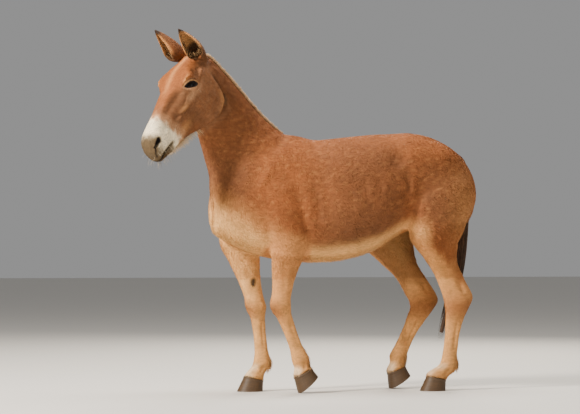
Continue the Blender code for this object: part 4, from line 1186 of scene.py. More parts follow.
def ovalRing(front, back, halfWidth, turn, widest, frontPower, backPower):
    # Half ellipses before and behind the widest place, their sides squared by a power of the sine
    centre = back + (front - back) * widest
    along = np.cos(turn)
    reach = np.where((along > 0)[:, None], along[:, None] * (front - centre), -along[:, None] * (back - centre))
    power = np.where(along > 0, frontPower, backPower)
    across = np.sign(np.sin(turn)) * np.abs(np.sin(turn)) ** power * halfWidth
    return centre + reach + across[:, None] * np.array((0.0, 1.0, 0.0))


for name, (x, y, tipDegrees) in hoofTips.items():
    h = hoofShape
    tip = math.radians(tipDegrees)
    height = h["depth"] * math.cos(tip) + (h["toeReach"] * math.sin(tip) - 0.0035 if tip else 0.0)
    slope = np.array((math.cos(math.radians(h["coronetSlope"])), 0.0, math.sin(math.radians(h["coronetSlope"]))))
    turn = np.arange(h["around"]) * 2 * math.pi / h["around"]
    shares = np.concatenate([[0.0, 0.01, 0.03], np.linspace(0.06, 1.0, h["down"])])
    rings = []
    for share in shares:
        swell = 0.0022 * math.sin(math.pi * min(share / 0.12, 1.0)) if share < 0.12 else 0.0
        ringWave = h["ringRise"] * math.sin(share * h["rings"] * 2 * math.pi) * min(1.0, (1 - share) * 12) - 0.0005
        frontTop = slope * h["coronetHalfLength"]
        front = frontTop + (np.array((h["toeReach"], 0, -h["depth"])) - frontTop) * share
        backTop = -slope * (h["coronetHalfLength"] - 0.002)
        back = backTop + (np.array((-h["heelReach"], 0, -h["depth"])) - backTop) * share
        grow = swell + ringWave
        halfWidth = h["coronetHalfWidth"] + (h["halfWidth"] - h["coronetHalfWidth"]) * share + grow
        rings.append(ovalRing(front + slope * grow, back - slope * grow, halfWidth, turn, 0.46, 0.85, 0.75))
    sole = rings[-1]
    middle = sole.mean(axis=0)
    for size, lift in ((0.90, 0.0), (0.84, 0.004), (0.45, 0.008)):  # a worn rim, then the sole's hollow
        rings.append(middle + (sole - middle) * size + np.array((0, 0, lift)))
    top = rings[0]
    rings = [top.mean(axis=0) + (top - top.mean(axis=0)) * 0.86 + np.array((0, 0, 0.004))] + rings
    verts = np.array(rings)
    rows = len(verts)
    place = np.vstack([verts.reshape(-1, 3), verts[0].mean(axis=0), verts[-1].mean(axis=0)])
    place = place @ np.array(Matrix.Rotation(tip, 3, "Y")).T + np.array((x, y, height))
    world = fromStance(place)
    world[:, 2] = np.maximum(place[:, 2], 0.0)
    hoofMesh = outward(meshFrom("hoof", world, tubeFaces(rows, h["around"])))
    around = np.concatenate([np.tile(1 - np.abs(turn / math.pi - 1), rows), [0.5, 0.5]])
    down = np.concatenate([np.repeat(np.linspace(0, 1, rows), h["around"]), [0, 1]])
    giveMap(hoofMesh, "hoofMap", np.column_stack([around, down]))
    side = name.split("_")
    piece("hoof" + side[0].capitalize() + side[1].capitalize(), hoofMesh, hoofHorn, ["hoof_" + name])
report("hooves shaped")


# Coat
coatLook = {
    "bodyLength": 0.017, "bodyWidth": 0.0022, "legLength": 0.0105, "legWidth": 0.0018,
    "faceLength": 0.0066, "faceWidth": 0.0014,
    "bodyTufts": 118000, "legTufts": 52000, "faceTufts": 42000,
}
whorl = np.array((0.115, 0.0, 0.110))


def lieOfCoat(places, normals):  # the way the hair points, along the skin
    d = toStance(places)
    q = toHead(places)
    onHead = headShare(q)
    x, y, z = d.T
    way = layered(plain((-1.0, 0.0, -0.42), len(d)), (
        ((-0.62, 0.0, -0.80), fade(0.20, 0.45, x)),
        ((-0.10, 0.0, -1.0), fade(0.56, 0.68, x) * fade(1.20, 1.05, z)),
        ((-0.62, -0.10, -0.75), fade(1.15, 1.35, z + 0.5 * (x - 0.5)) * fade(0.30, 0.5, x)),
        ((-0.45, 0.0, -0.90), fade(-0.30, -0.55, x)),
        ((-1.0, 0.0, 0.0), fade(-0.55, -0.9, normals[:, 2]) * fade(0.66, 0.7, z)),
        ((-0.12, 0.0, -1.0), fade(0.86, 0.66, z) * fade(-0.8, -0.4, normals[:, 2])),
    ))
    side = np.where(q[:, 1:2] < 0, -1.0, 1.0)
    ahead = np.tanh((q[:, 0:1] - whorl[0]) / 0.05)
    one = np.ones_like(side)
    face = layered(np.hstack([ahead, side * 0.35, -0.25 * one]), (
        (np.hstack([ahead * 0.15 - 0.20, 0 * one, -one]), fade(0.05, -0.05, q[:, 2])),
        ((1.0, 0, -0.25), fade(0.36, 0.44, q[:, 0])),
    ))
    way = towards(way, face @ headTurn.T, onHead)
    way = way + 0.16 * np.stack([cloud(d, 0.10, seed) for seed in (31, 32, 33)], 1)
    way = way - normals * (way * normals).sum(axis=1, keepdims=True)
    return unit(way)


def scatter(mesh, count, weight):  # random places on the mesh, as many per area as the weight asks; also their normals
    mesh.calc_loop_triangles()
    corners = readOut(mesh.loop_triangles, "vertices", 3, np.int32)
    places, _, normals = meshArrays(mesh)
    a, b, c = (places[corners[:, k]] for k in range(3))
    area = np.linalg.norm(np.cross(b - a, c - a), axis=1) / 2
    share = area * weight((a + b + c) / 3, normals[corners[:, 0]])
    total = share.sum()
    if total <= 0:
        return np.zeros((0, 3)), np.zeros((0, 3))
    # Evenly spaced along the running sum, each a little shifted, which leaves fewer gaps than pure chance
    at = (np.arange(count) + rng.uniform(0, 1, count)) / count * total
    picked = np.minimum(np.searchsorted(np.cumsum(share), at), len(share) - 1)
    u, v = rng.uniform(0, 1, (2, count))
    u, v = np.where(u + v > 1, 1 - u, u)[:, None], np.where(u + v > 1, 1 - v, v)[:, None]
    t = corners[picked]
    roots = a[picked] * (1 - u - v) + b[picked] * u + c[picked] * v
    lean = normals[t[:, 0]] * (1 - u - v) + normals[t[:, 1]] * u + normals[t[:, 2]] * v
    return roots, unit(lean)


def unwrap(places):  # a place on the skin's own shape: along each part's axis, and round it
    d = toStance(places)
    q = toHead(places)
    head = headShare(q) > 0.5
    fore = ~head & (d[:, 0] > 0.42) & (d[:, 2] > 0.66)
    leg = ~head & (d[:, 2] <= 0.66)
    u = (d[:, 0] + 0.72) / 1.30
    v = np.arctan2(d[:, 1], d[:, 2] - 1.04) / (2 * math.pi) + 0.5
    start, end = np.array((0.34, 0.02, 0.98)), np.array((0.86, 0.09, 1.68))
    axis = unit(end - start)
    off = d - start
    along = off @ axis
    aside = off @ np.cross(axis, (0.0, 1.0, 0.0))
    u = np.where(fore, (along + 0.28) / 1.15, u)
    v = np.where(fore, np.arctan2(off[:, 1] - along * axis[1], aside) / (2 * math.pi) + 0.5, v)
    u = np.where(head, (q[:, 0] + 0.06) / 0.70, u)
    v = np.where(head, np.arctan2(q[:, 1], q[:, 2] + 0.04) / (2 * math.pi) + 0.5, v)
    for joints, y in legJoints.values():
        heights = [z for _, z in joints][::-1]
        middle = np.interp(d[:, 2], heights, [x for x, _ in joints][::-1])
        own = leg & ((d[:, 0] > 0.1) == (joints[0][0] > 0)) & ((d[:, 1] > 0) == (y > 0))
        turn = np.arctan2(d[:, 1] - y, d[:, 0] - middle) / (2 * math.pi) + 0.5
        u = np.where(own, turn * 0.47 + (0.01 if y > 0 else 0.51), u)
        v = np.where(own, (d[:, 2] - 0.02) / 0.66, v)
    return np.clip(np.stack([u, v], 1), 0.004, 0.996)


def chosen(own, *rows):
    return [each[own] for each in rows]


def tufts(name, slot, roots, normals, lies, lengths, widths, lifts, colours, spots=None, looseShare=0.12):
    # Each tuft is a low wedge of four faces: two root corners a width apart, a ridge point three tenths
    # of the length on, and a tip one length on, which stands off the skin by the lift only in the loose ones.
    side = np.cross(normals, lies) * (widths / 2)[:, None]
    high = normals * (widths * 0.10 + lifts * 0.35)[:, None]
    deep = normals * (widths * 0.20)[:, None]
    rise = lifts * np.where(rng.uniform(0, 1, len(roots)) < looseShare, 1.0, 0.12)
    tip = roots + lies * lengths[:, None] + normals * rise[:, None]
    verts = np.stack([roots - side - deep, roots + side - deep, roots + lies * (lengths * 0.3)[:, None] + high, tip], 1)
    pattern = np.array([(0, 1, 3), (0, 3, 2), (1, 2, 3), (0, 2, 1)])
    faces = (np.arange(len(roots))[:, None, None] * 4 + pattern).reshape(-1, 3)
    mesh = meshFrom(name, verts.reshape(-1, 3), faces, True)
    # Root corners a little darker as painted shade at the roots, the tip a little lighter
    steps = np.array((0.97, 0.97, 1.0, 1.04))
    tint(mesh, np.clip(colours[:, None, :] * steps[None, :, None], 0, 0.95).reshape(-1, 3))
    spots = unwrap(roots) if spots is None else spots
    corners = np.array([(-0.0013, -0.0013), (0.0013, -0.0013), (-0.0013, 0.0013), (0.0013, 0.0013)])
    giveMap(mesh, "OFBake", (spots[:, None, :] + corners[None]).reshape(-1, 2))
    return piece(name, mesh, finishes["coat"])


def locks(name, paths, widths, sides, colours, spots, finish="coat", flat=0.45, rootShadeToTip=(0.75, 1.1)):
    # Each lock is a tapering three-sided rod along its path: at each point of the path two corners lie a width
    # apart across it and one over them, and the last point of the path is its tip.
    count, steps = paths.shape[:2]
    roots, reach = paths[:, :1], paths - paths[:, :1]
    room = np.where(reach > 0, np.array(cadBox[1]) - 0.001 - roots, roots - np.array(cadBox[0]) - 0.0005)
    paths = roots + reach * np.clip((room / np.maximum(np.abs(reach), 1e-6)).min(axis=(1, 2), keepdims=True), 0.15, 1.0)
    rings = steps - 1
    run = unit(np.gradient(paths, axis=1))[:, :rings]
    side = unit(sides if sides.ndim == 3 else np.repeat(sides[:, None, :], rings, 1))
    side = unit(side - run * (side * run).sum(axis=-1, keepdims=True))
    over = np.cross(side, run)
    w = widths[:, :rings, None] / 2
    middle = paths[:, :rings]
    ring = np.stack([middle - side * w, middle + side * w, middle + over * w * 2 * flat], 2)
    verts = np.concatenate([ring.reshape(count, rings * 3, 3), paths[:, -1:]], 1)
    per = rings * 3 + 1
    sidesOf = ((0, 1), (1, 2), (2, 0))
    quads = [(k + b, k + a, k + 3 + a, k + 3 + b) for k in range(0, rings * 3 - 3, 3) for a, b in sidesOf]
    last = (rings - 1) * 3
    ends = [(0, 1, 2), (last + 1, last, per - 1), (last + 2, last + 1, per - 1), (last, last + 2, per - 1)]
    start = (np.arange(count) * per)[:, None, None]
    groups = [(start + np.array(quads)).reshape(-1, 4), (start + np.array(ends)).reshape(-1, 3)]
    mesh = meshFrom(name, verts.reshape(-1, 3), groups, True)
    along = np.append(np.repeat(np.arange(rings) / rings, 3), 1.0)
    # Darker towards the root as painted shade, lighter towards the tip
    tone = rootShadeToTip[0] + (rootShadeToTip[1] - rootShadeToTip[0]) * along
    tint(mesh, np.clip(colours[:, None, :] * tone[None, :, None], 0, 0.95).reshape(-1, 3))
    across = np.append(np.tile((-0.0013, 0.0013, 0.0), rings), 0.0)
    giveMap(mesh, "OFBake", (spots[:, None, :] + np.stack([across, along * 0.0026 - 0.0013], 1)[None]).reshape(-1, 2))
    mesh.shade_smooth()
    return piece(name, mesh, finishes[finish])


def vary(colours, amount):  # each tuft a little lighter or darker, and a little redder or paler
    tone = rng.normal(1.0, amount, (len(colours), 1))
    warm = rng.normal(0.0, amount * 0.35, (len(colours), 1))
    return colours * tone * (1 + warm * np.array((1.0, -0.2, -1.0)))


def coatPieces():
    def bodyWeight(places, normals):
        return (1 - headShare(toHead(places))) * (toStance(places)[:, 2] > 0.60)

    def legWeight(places, normals):
        z = toStance(places)[:, 2]
        return (z <= 0.66) * (z > 0.075) * (1 + fade(0.3, 0.1, z))

    def faceWeight(places, normals):
        q = toHead(places)
        return headShare(q) * (almond(toEye(onLeft(q)), *eyes["dark"]) > 0.001) * (1 + 0.6 * fade(0.42, 0.50, q[:, 0]))

    roots, normals = scatter(skinMesh, coatLook["bodyTufts"], bodyWeight)
    d = toStance(roots)
    lies = lieOfCoat(roots, normals)
    clump = 1 + 0.22 * cloud(d, 0.030, 41) + 0.12 * cloud(d, 0.012, 42)
    bottom = np.interp(d[:, 0], *bellyLine)
    belly = fade(bottom + 0.05, bottom + 0.01, d[:, 2])
    near = 0.62 + 0.38 * fade(0.62, 0.85, d[:, 2])
    lengths = coatLook["bodyLength"] * near * clump * rng.uniform(0.75, 1.25, len(roots)) * (1 + 0.5 * belly)
    widths = coatLook["bodyWidth"] * near**0.5 * rng.uniform(0.7, 1.25, len(roots))
    lifts = 0.0005 + 0.0008 * rng.uniform(0, 1, len(roots)) + 0.004 * belly
    colours = vary(coatColourAndShading(roots, normals), 0.045)
    part = np.where(d[:, 0] > 0.42, 0, np.where(d[:, 0] > -0.25, 1, 2))
    for index, label in enumerate(("coatFore", "coatMiddle", "coatHaunch")):
        own = part == index
        ownRows = chosen(own, roots, normals, lies, lengths, widths, lifts, colours)
        tufts(label, "coat", *ownRows, looseShare=0.12 + 0.5 * belly[own])

    roots, normals = scatter(skinMesh, coatLook["legTufts"], legWeight)
    d = toStance(roots)
    lies = lieOfCoat(roots, normals)
    fine = 0.70 + 0.30 * fade(0.12, 0.45, d[:, 2])
    lengths = coatLook["legLength"] * fine * rng.uniform(0.75, 1.3, len(roots))
    widths = coatLook["legWidth"] * fine * rng.uniform(0.7, 1.25, len(roots))
    lifts = rng.uniform(0.0005, 0.0013, len(roots))
    colours = vary(coatColourAndShading(roots, normals), 0.045)
    for label, own in (("coatForelegs", d[:, 0] > 0.1), ("coatHindlegs", d[:, 0] <= 0.1)):
        tufts(label, "leg_coat", *chosen(own, roots, normals, lies, lengths, widths, lifts, colours))

    roots, normals = scatter(skinMesh, coatLook["faceTufts"], faceWeight)
    q = onLeft(toHead(roots))
    lies = lieOfCoat(roots, normals)
    fine = 1 - 0.35 * fade(0.42, 0.50, q[:, 0])
    lengths = coatLook["faceLength"] * fine * rng.uniform(0.7, 1.3, len(roots))
    widths = coatLook["faceWidth"] * fine * rng.uniform(0.7, 1.25, len(roots))
    lifts = rng.uniform(0.0003, 0.0009, len(roots))
    keep = (
        (seen(q, nostril["line"])[0] > 0.0105) & (seen(q, nostril["split"])[0] > 0.004)
        & (stroke(q, mouthLine, 0.004, 0.03) < 0.5)
    )
    colours = vary(coatColourAndShading(roots, normals), 0.050)
    tufts("coatFace", "coat", *chosen(keep, roots, normals, lies, lengths, widths, lifts, colours))


def bentPaths(roots, start, bend, lengths, steps):  # each path leaves along start and turns towards bend as it goes
    share = np.linspace(0, 1, steps)[None, :, None]
    bend = np.atleast_2d(np.array(bend, float))[:, None, :]
    return roots[:, None, :] + lengths[:, None, None] * (start[:, None, :] * share + bend * share**2)


def taper(widths, steps, power=0.7):
    return widths[:, None] * (1 - np.linspace(0, 1, steps)[None, :]) ** power


longHair = {"fringe": 7000, "beard": 900, "whiskers": 150, "lashes": 46}


def fringePieces():  # longer hair: under the belly and jaw, behind the elbows and fetlocks, over the hooves
    def weight(places, normals):
        d = toStance(places)
        q = toHead(places)
        bottom = np.interp(d[:, 0], *bellyLine)
        belly = fade(bottom + 0.030, bottom, d[:, 2]) * (np.abs(d[:, 1]) < 0.12) * (d[:, 0] > -0.35) * (d[:, 0] < 0.30)
        fetlock = np.exp(-(((d[:, 2] - 0.150) / 0.022) ** 2)) * fade(-0.2, -0.7, normals[:, 0]) * 12
        coronet = (d[:, 2] > 0.058) * (d[:, 2] < 0.115) * fade(-0.7, -0.2, normals[:, 2]) * 5 * (headShare(q) < 0.1)
        elbow = stroke(onLeft(d), ((0.240, 0.215, 0.900), (0.245, 0.205, 0.840), (0.265, 0.195, 0.775)), 0.012)
        breast = stroke(d, ((0.748, 0.012, 1.02), (0.755, 0.006, 0.93), (0.730, 0.0, 0.85)), 0.03) * 0.8
        return belly + fetlock * (d[:, 2] < 0.21) + coronet + elbow + breast

    roots, normals = scatter(skinMesh, longHair["fringe"], weight)
    d = toStance(roots)
    lies = lieOfCoat(roots, normals)
    low = d[:, 2] < 0.25
    behind = low & (normals[:, 0] < -0.1) & (d[:, 2] > 0.12)
    lengths = np.where(low, 0.014, 0.024) * rng.uniform(0.7, 1.3, len(roots))
    lengths = np.where(behind, 0.026 * rng.uniform(0.7, 1.25, len(roots)), lengths)
    start = unit(lies + normals * np.where(behind, 0.45, np.where(low, 0.10, 0.22))[:, None])
    colours = vary(coatColourAndShading(roots, normals), 0.10)
    paths = bentPaths(roots - normals * 0.001, start, (0, 0, -0.25), lengths, 4)
    paths[..., 2] = np.maximum(paths[..., 2], 0.002)
    widths = taper(np.where(low, 0.0022, 0.0030) * rng.uniform(0.6, 1.2, len(roots)), 4)
    locks("fringe", paths, widths, np.cross(normals, lies), colours, unwrap(roots))

    def beard(places, normals):
        q = toHead(places)
        low = np.interp(q[:, 0], *jawLine)
        return (
            fade(low + 0.030, low + 0.004, q[:, 2]) * fade(0.25, 0.30, q[:, 0]) * fade(0.52, 0.44, q[:, 0])
            * headShare(q) * (normals @ headTurn[:, 2] < -0.2)
        )

    roots, normals = scatter(skinMesh, longHair["beard"], beard)
    q = toHead(roots)
    longest = 0.014 + 0.020 * fade(0.20, 0.32, q[:, 0]) * fade(0.52, 0.42, q[:, 0])
    lengths = longest * rng.uniform(0.6, 1.3, len(roots))
    back = np.array((-0.45, 0, -0.75)) @ headTurn.T
    start = unit(normals * 0.5 + back + rng.normal(0, 0.16, (len(roots), 3)))
    colours = vary(plain((0.66, 0.47, 0.26), len(roots)), 0.12)
    paths = bentPaths(roots - normals * 0.001, start, (0, 0, -0.30), lengths, 5)
    widths = taper(rng.uniform(0.0008, 0.0018, len(roots)), 5)
    locks("beard", paths, widths, np.cross(normals, start), colours, unwrap(roots))

    def whiskerWeight(places, normals):
        q = onLeft(toHead(places))
        chin = fade(-0.070, -0.085, q[:, 2]) * fade(0.45, 0.50, q[:, 0])
        lip = fade(-0.02, -0.04, q[:, 2]) * fade(0.47, 0.52, q[:, 0]) * 0.6
        eye = spot(q, (0.165, 0.095, 0.000), (0.03, 0.03, 0.012)) * 0.5
        return (chin + lip + eye) * headShare(q)

    roots, normals = scatter(skinMesh, longHair["whiskers"], whiskerWeight)
    lengths = rng.uniform(0.016, 0.042, len(roots))
    start = unit(normals + rng.normal(0, 0.25, (len(roots), 3)))
    pale = rng.uniform(0, 1, (len(roots), 1)) < 0.55
    colours = vary(np.where(pale, np.array((0.70, 0.58, 0.42)), np.array((0.10, 0.07, 0.05))), 0.08)
    paths = bentPaths(roots - normals * 0.001, start, (0, 0, -0.35), lengths, 6)
    widths = taper(np.full(len(roots), 0.0009), 6, 0.5)
    locks("whiskers", paths, widths, np.cross(normals, start + (0.1, 0.2, 0.3)), colours, unwrap(roots))

    allPaths, allSides, allRoots = [], [], []
    for hand in (1, -1):  # lashes along the upper lid, pointing out and down
        count = longHair["lashes"]
        a = np.linspace(-0.80, 0.80, count) + rng.uniform(-0.015, 0.015, count)
        length, upper, _ = eyes["opening"]
        e = np.stack([a * length, -upper * (1 - a * a) - 0.0022, np.zeros(count)], 1)
        edge = eyes["radius"] + eyes["lidThickness"] * 0.6
        e[:, 2] = np.sqrt(np.maximum(edge**2 - (e[:, :2] ** 2).sum(axis=1), 1e-5))
        start = unit(np.stack([a * 0.45, np.full(count, 0.10), np.full(count, 0.9)], 1))
        lengths = 0.0125 * (1 - 0.35 * np.abs(a)) * rng.uniform(0.85, 1.15, count)
        q = fromEye(bentPaths(e, start, (0, 0.25, 0), lengths, 5))
        q[..., 1] *= hand
        allPaths.append(fromHead(q))
        allSides.append(np.tile(fromHead(np.array((1.0, 0, 0))) - poll, (count, 1)))
        allRoots.append(fromHead(q[:, 0]))
    paths = np.concatenate(allPaths)
    widths = taper(np.full(len(paths), 0.0009), 5, 0.5)
    dark = plain((0.04, 0.025, 0.018), len(paths))
    locks("lashes", paths, widths, np.concatenate(allSides), dark, unwrap(np.concatenate(allRoots)))


maneLook = {
    "bristles": 6800, "length": 0.015, "width": 0.0024, "ridge": (120, 14), "ridgeWide": 0.0085, "ridgeHigh": 0.009,
}
crest = np.array((  # x, z and y in the stance's frame, in millimetres
    (270, 1325, 0), (380, 1362, 0), (472, 1432, 4), (549, 1507, 18),
    (622, 1585, 36), (699, 1662, 54), (782, 1736, 70), (848, 1752, 90),
)) / 1000
throat = np.array((
    (690, 900, 0), (757, 1010, 0), (768, 1125, 4), (802, 1233, 18),
    (832, 1323, 36), (858, 1404, 54), (885, 1480, 70), (905, 1530, 90),
)) / 1000


def maneFrame(shares):  # the crest, outwards from the neck, forwards and sideways, at shares of the mane's length
    rows = np.array([(x, y, z) for x, z, y in crest])
    low = np.array([(x, y, z) for x, z, y in throat])
    at = 0.9 + shares * (len(rows) - 2.0)
    line = curveThrough(rows, 400)
    under = curveThrough(low, 400)
    k = at / (len(rows) - 1) * 399
    middle = np.stack([np.interp(k, np.arange(400), line[:, j]) for j in range(3)], 1)
    below = np.stack([np.interp(k, np.arange(400), under[:, j]) for j in range(3)], 1)
    ahead = unit(np.stack([np.interp(k, np.arange(400), np.gradient(line[:, j])) for j in range(3)], 1))
    out = unit(middle - below)
    out = unit(out - ahead * (out * ahead).sum(axis=1, keepdims=True))
    return fromStance(middle), out, ahead, np.cross(out, ahead)


def makeMane():
    rows, columns = maneLook["ridge"]
    shares = np.linspace(0, 1, rows)
    middle, out, ahead, side = maneFrame(shares)
    grown = np.minimum(fade(-0.02, 0.10, shares), fade(1.0, 0.93, shares))[:, None, None]
    turn = np.arange(columns)[None, :, None] * 2 * math.pi / columns
    # A low ridge: an oval section that sinks into the neck at both ends
    high = out[:, None] * (np.cos(turn) * maneLook["ridgeHigh"] * grown + 0.001)
    verts = (middle[:, None] + side[:, None] * np.sin(turn) * maneLook["ridgeWide"] * grown + high).reshape(-1, 3)
    mesh = outward(meshFrom("maneRidge", np.vstack([verts, middle[0], middle[-1]]), tubeFaces(rows, columns)))
    places = meshArrays(mesh)[0]
    tint(mesh, np.array((0.56, 0.38, 0.22)) * (1 + 0.25 * cloud(places, 0.012, 51))[:, None])
    piece("maneRidge", mesh, finishes["mane"], ["mane"])

    count = maneLook["bristles"]
    shares = np.sort(rng.uniform(0, 1, count))
    middle, out, ahead, side = maneFrame(shares)
    across = rng.normal(0, 0.42, count).clip(-1, 1)
    grown = np.minimum(fade(-0.03, 0.10, shares), fade(1.02, 0.95, shares))
    tuft = 1 + 0.20 * np.sin(shares * 190 + 3 * np.sin(shares * 31)) + 0.10 * np.sin(shares * 420)
    length = (
        maneLook["length"] * tuft * (0.45 + 0.55 * grown) * rng.uniform(0.70, 1.15, count)
        * (1 - 0.25 * np.abs(across))
    )
    lean = 0.30 * np.sin(shares * 95 + 1.5 * np.sin(shares * 23)) + rng.normal(0, 0.13, count)
    roots = middle + side * (across * 0.0105)[:, None] - out * (0.004 + 0.004 * across**2)[:, None]
    start = unit(out + side * (across * 0.42 + rng.normal(0, 0.10, count))[:, None] + ahead * lean[:, None])
    bend = side * (across * 0.20)[:, None] + ahead * rng.normal(-0.08, 0.10, count)[:, None]
    sandy = 0.30 + 0.55 * np.abs(across) + rng.normal(0, 0.16, count)
    colours = vary(layered(plain((0.78, 0.57, 0.33), count), (((0.50, 0.25, 0.10), sandy),)), 0.09)
    spots = np.stack([0.01 + 0.98 * shares, 0.5 + 0.45 * across], 1)
    widths = taper(maneLook["width"] * rng.uniform(0.55, 1.2, count), 5, 0.55)
    side = side + ahead * rng.normal(0, 0.5, (count, 1))
    paths = bentPaths(roots, start, bend, length, 5)
    locks("maneBristles", paths, widths, side, colours, spots, "mane", rootShadeToTip=(0.62, 1.12))


tailRows = (  # x, z, half thickness, half width
    (-0.575, 1.262, 0.020, 0.020), (-0.625, 1.215, 0.026, 0.027), (-0.648, 1.130, 0.026, 0.028),
    (-0.652, 1.020, 0.026, 0.030), (-0.641, 0.880, 0.028, 0.034), (-0.626, 0.740, 0.032, 0.038),
    (-0.602, 0.600, 0.032, 0.038), (-0.562, 0.460, 0.028, 0.034), (-0.524, 0.340, 0.021, 0.026),
    (-0.498, 0.240, 0.008, 0.010),
)
tailLook = {"locks": 900, "fine": 500, "steps": 15, "core": (70, 24)}


def tailFrame(shares):
    rows = curveThrough(tailRows, 300)
    x, z, thick, wide = (np.interp(shares * 299, np.arange(300), rows[:, k]) for k in range(4))
    dx, dz = (np.interp(shares * 299, np.arange(300), np.gradient(rows[:, k])) for k in range(2))
    down = unit(np.stack([dx, 0 * dx, dz], -1))
    ahead = np.stack([down[..., 2], 0 * dx, -down[..., 0]], -1)
    return np.stack([x, 0 * x, z], -1), down, ahead, thick, wide


def makeTail():
    rows, columns = tailLook["core"]
    shares = np.linspace(0.0, 0.93, rows)
    middle, down, ahead, thick, wide = tailFrame(shares)
    turn = np.arange(columns)[None, :] * 2 * math.pi / columns
    slim = (0.80 - 0.30 * fade(0.45, 0.9, shares))[:, None]
    ridges = 1 + 0.05 * np.sin(turn * 9 + shares[:, None] * 7)
    verts = middle[:, None] + ahead[:, None] * (np.cos(turn) * thick[:, None] * slim * ridges)[..., None]
    verts = verts + np.array((0.0, 1.0, 0.0)) * (np.sin(turn) * wide[:, None] * slim * ridges)[..., None]
    flat = fromStance(verts.reshape(-1, 3))
    caps = fromStance(np.array([middle[0], middle[-1]]))
    mesh = outward(meshFrom("tailCore", np.vstack([flat, caps]), tubeFaces(rows, columns)))
    tint(mesh, tailColour(np.concatenate([np.repeat(shares, columns), [0, 1]])))
    piece("tailCore", mesh, finishes["tail"], ["tail"])

    count, steps = tailLook["locks"] + tailLook["fine"], tailLook["steps"]
    fine = np.arange(count) >= tailLook["locks"]
    first = rng.uniform(0.0, 0.62, count) ** 1.1
    last = np.clip(first + rng.uniform(0.30, 0.55, count), 0, 1.0 - 0.10 * rng.uniform(0, 1, count) ** 2)
    angle = rng.uniform(0, 2 * math.pi, count)
    t = np.linspace(0, 1, steps)[None, :]
    share = first[:, None] + (last - first)[:, None] * t
    middle, down, ahead, thick, wide = tailFrame(share)
    twist = angle[:, None] + rng.normal(0, 0.28, (count, 1)) * t + 0.10 * np.sin(t * 9 + angle[:, None] * 3)
    fill = (0.78 + 0.22 * np.sqrt(t)) * rng.uniform(0.80, 1.0, (count, 1)) - 0.10 * (t < 0.01)
    fill = np.where(fine[:, None], fill * 1.02, fill)
    paths = middle + ahead * (np.cos(twist) * thick * fill)[..., None]
    paths = fromStance(paths + np.array((0.0, 1.0, 0.0)) * (np.sin(twist) * wide * fill)[..., None])
    width = np.where(fine, rng.uniform(0.0012, 0.0022, count), rng.uniform(0.0045, 0.0085, count))
    widths = width[:, None] * np.maximum(np.sin(np.clip(t * 1.15 + 0.18, 0, 1) * math.pi) ** 0.5, 0.05) * (1 - 0.6 * t)
    side = np.cos(angle)[:, None] * np.array((0.0, 1.0, 0.0)) - np.sin(angle)[:, None] * ahead[:, 0]
    colours = vary(tailColour(first * 0.6 + last * 0.4), 0.16)
    spots = np.stack([0.01 + 0.98 * (angle / (2 * math.pi)), 0.02 + 0.95 * (first + last) / 2], 1)
    locks("tailLocks", paths, widths, side, colours, spots, "tail", flat=0.30, rootShadeToTip=(0.85, 1.05))


def tailColour(share):  # the coat's colour on the dock, dark brown below
    return layered(plain((0.300, 0.120, 0.050), len(share)), (
        ((0.110, 0.060, 0.034), fade(0.12, 0.28, share)),
        ((0.045, 0.028, 0.019), 0.7 * fade(0.28, 0.6, share)),
    ))


earHairs = {"inside": 850, "coat": 7400, "rim": 1300}


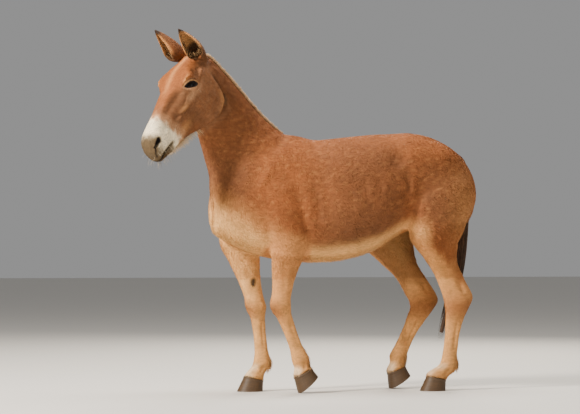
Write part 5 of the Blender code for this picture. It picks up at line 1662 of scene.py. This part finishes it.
def earHair():
    for side in ("left", "right"):
        base, length, up, opening, across = earFrame(side)
        count = earHairs["inside"]
        shares = rng.uniform(0.24, 0.90, count) ** 1.15 + 0.02
        turns = np.sign(rng.uniform(-1, 1, count)) * rng.uniform(0.35, 0.98, count) ** 0.8
        wall = earPoints(side, shares, turns, True)
        rows = curveThrough(earRows, 240)
        back = np.interp(shares, rows[:, 0], rows[:, 5]) + np.interp(shares, rows[:, 0], rows[:, 2])
        middle = base + up * (length * shares)[:, None] + opening * back[:, None]
        inward = unit(middle - wall)
        start = unit(inward * 0.55 + up * 0.75 + opening * 0.35 + rng.normal(0, 0.12, (count, 3)))
        bend = up * 0.25 - inward * 0.15
        lengths = (0.009 + 0.017 * fade(0.9, 0.3, shares)) * rng.uniform(0.6, 1.2, count)
        paths = bentPaths(wall - inward * 0.001, start, bend, lengths, 5)
        tone = rng.uniform(0, 1, (count, 1))
        dark = np.where(tone < 0.85, (0.24, 0.13, 0.06), (0.08, 0.045, 0.025))
        colours = vary(np.where(tone < 0.55, (0.50, 0.31, 0.15), dark), 0.10)
        spots = np.stack([0.5 + 0.22 * turns, 0.02 + 0.95 * shares], 1)
        widths = taper(rng.uniform(0.0010, 0.0022, count), 5)
        locks("earHair" + side.capitalize(), fromHead(paths), widths, inward @ headTurn.T, colours, spots)

        count, onRim = earHairs["coat"], earHairs["rim"]
        shares = rng.uniform(0.0, 0.985, count) ** 0.85
        turns = rng.uniform(-1, 1, count)
        edge = rng.uniform(0, 1, count) < 0.16  # along the rim
        edge[:onRim] = True
        shares[:onRim] = rng.uniform(0.02, 0.60, onRim)
        turns = np.where(edge, np.sign(turns) * rng.uniform(0.965, 1.0, count), turns)
        across = rng.uniform(0, 1, (count, 1)) * edge[:, None]  # those of the rim stand anywhere over its thickness

        def rimPoints(places):
            wall = earPoints(side, places, turns, False)
            return wall + (earPoints(side, places, turns, True) - wall) * across

        wall = rimPoints(shares)
        ahead = rimPoints(np.minimum(shares + 0.01, 1.0))
        aside = earPoints(side, shares, np.clip(turns + 0.02, -1.02, 1.02), False)
        lies = unit(ahead - wall)
        normals = unit(np.cross(lies, unit(aside - wall)))
        away = wall - (base + up * (length * shares)[:, None] + opening * 0.01)
        flip = np.sign((normals * away).sum(axis=1, keepdims=True))
        normals = np.where(edge[:, None], opening, normals * np.where(flip == 0, 1, flip))
        colours = vary(earColour(shares, turns, wall), 0.05)
        lifts = np.where(edge, 0.0018, 0.0006) * rng.uniform(0.6, 1.3, count)
        lengths = np.where(edge, 0.0085, 0.0080) * rng.uniform(0.7, 1.25, count)
        lengths = np.minimum(lengths, (1.004 - shares) * length)
        widths = np.where(edge, 0.0013, 0.0018) * rng.uniform(0.7, 1.2, count)
        spots = np.stack([0.5 + 0.45 * turns, 0.02 + 0.95 * shares], 1)
        turned = (fromHead(wall), normals @ headTurn.T, lies @ headTurn.T)
        tufts("earCoat" + side.capitalize(), "ear", *turned, lengths, widths, lifts, colours, spots)


coatPieces()
report("coat laid")
fringePieces()
makeMane()
makeTail()
earHair()
report("mane, tail and long hair laid")


# Floor, light and camera
studio = {
    "floorColour": (0.70, 0.67, 0.62), "worldColour": (0.84, 0.84, 0.84), "worldStrength": 0.36,
    "key": ((7.0, 2.6, 5.2), 1.6, 1500.0, (1.0, 0.93, 0.84)),  # place, size, power and colour of each lamp
    "top": ((-0.6, -0.6, 5.5), 3.0, 260.0, (1.0, 0.96, 0.90)),
    "fill": ((-1.0, 8.0, 2.6), 4.5, 110.0, (1.0, 0.98, 0.95)),
    "back": ((-3.0, -5.0, 4.0), 2.5, 300.0, (1.0, 0.92, 0.80)),
    "lampAim": (0.0, 0.0, 0.9), "lens": 126.6, "cameraPlace": (3.337, 10.272, 0.702),
    "cameraAim": (0.302, -0.098, 0.971),
}


def aimed(obj, place, goal):
    obj.location = place
    obj.rotation_euler = (Vector(goal) - Vector(place)).to_track_quat("-Z", "Y").to_euler()
    return obj



floorCorners = np.array([(-60.0, -60, 0), (60, -60, 0), (60, 60, 0), (-60, 60, 0)])
floorMesh = meshFrom("floor", floorCorners, np.array([[0, 1, 2, 3]]))
floor = shown("floor", floorMesh)
floorFinish, _, _, floorShader = newFinish("paleFloor", 0.9)
floorShader.inputs["Base Color"].default_value = (*studio["floorColour"], 1)
floorMesh.materials.append(floorFinish)

world = bpy.data.worlds.new("studioWorld")
world.use_nodes = True
sky = world.node_tree.nodes["Background"].inputs
sky["Color"].default_value = (*studio["worldColour"], 1)
sky["Strength"].default_value = studio["worldStrength"]
bpy.context.scene.world = world
for label in ("key", "top", "fill", "back"):
    place, size, power, colour = studio[label]
    lamp = bpy.data.lights.new(label, "AREA")
    lamp.shape = "DISK"
    lamp.size = size
    lamp.energy = power
    lamp.color = colour
    aimed(shown(label, lamp), place, studio["lampAim"])

camera = bpy.data.cameras.new("camera")
camera.lens = studio["lens"]
camera.sensor_width = 36.0
camera.clip_end = 200.0
cameraPlace, cameraAim = (fromStance(studio[key]) for key in ("cameraPlace", "cameraAim"))
bpy.context.scene.camera = aimed(shown("camera", camera), cameraPlace, cameraAim)
report("studio set")
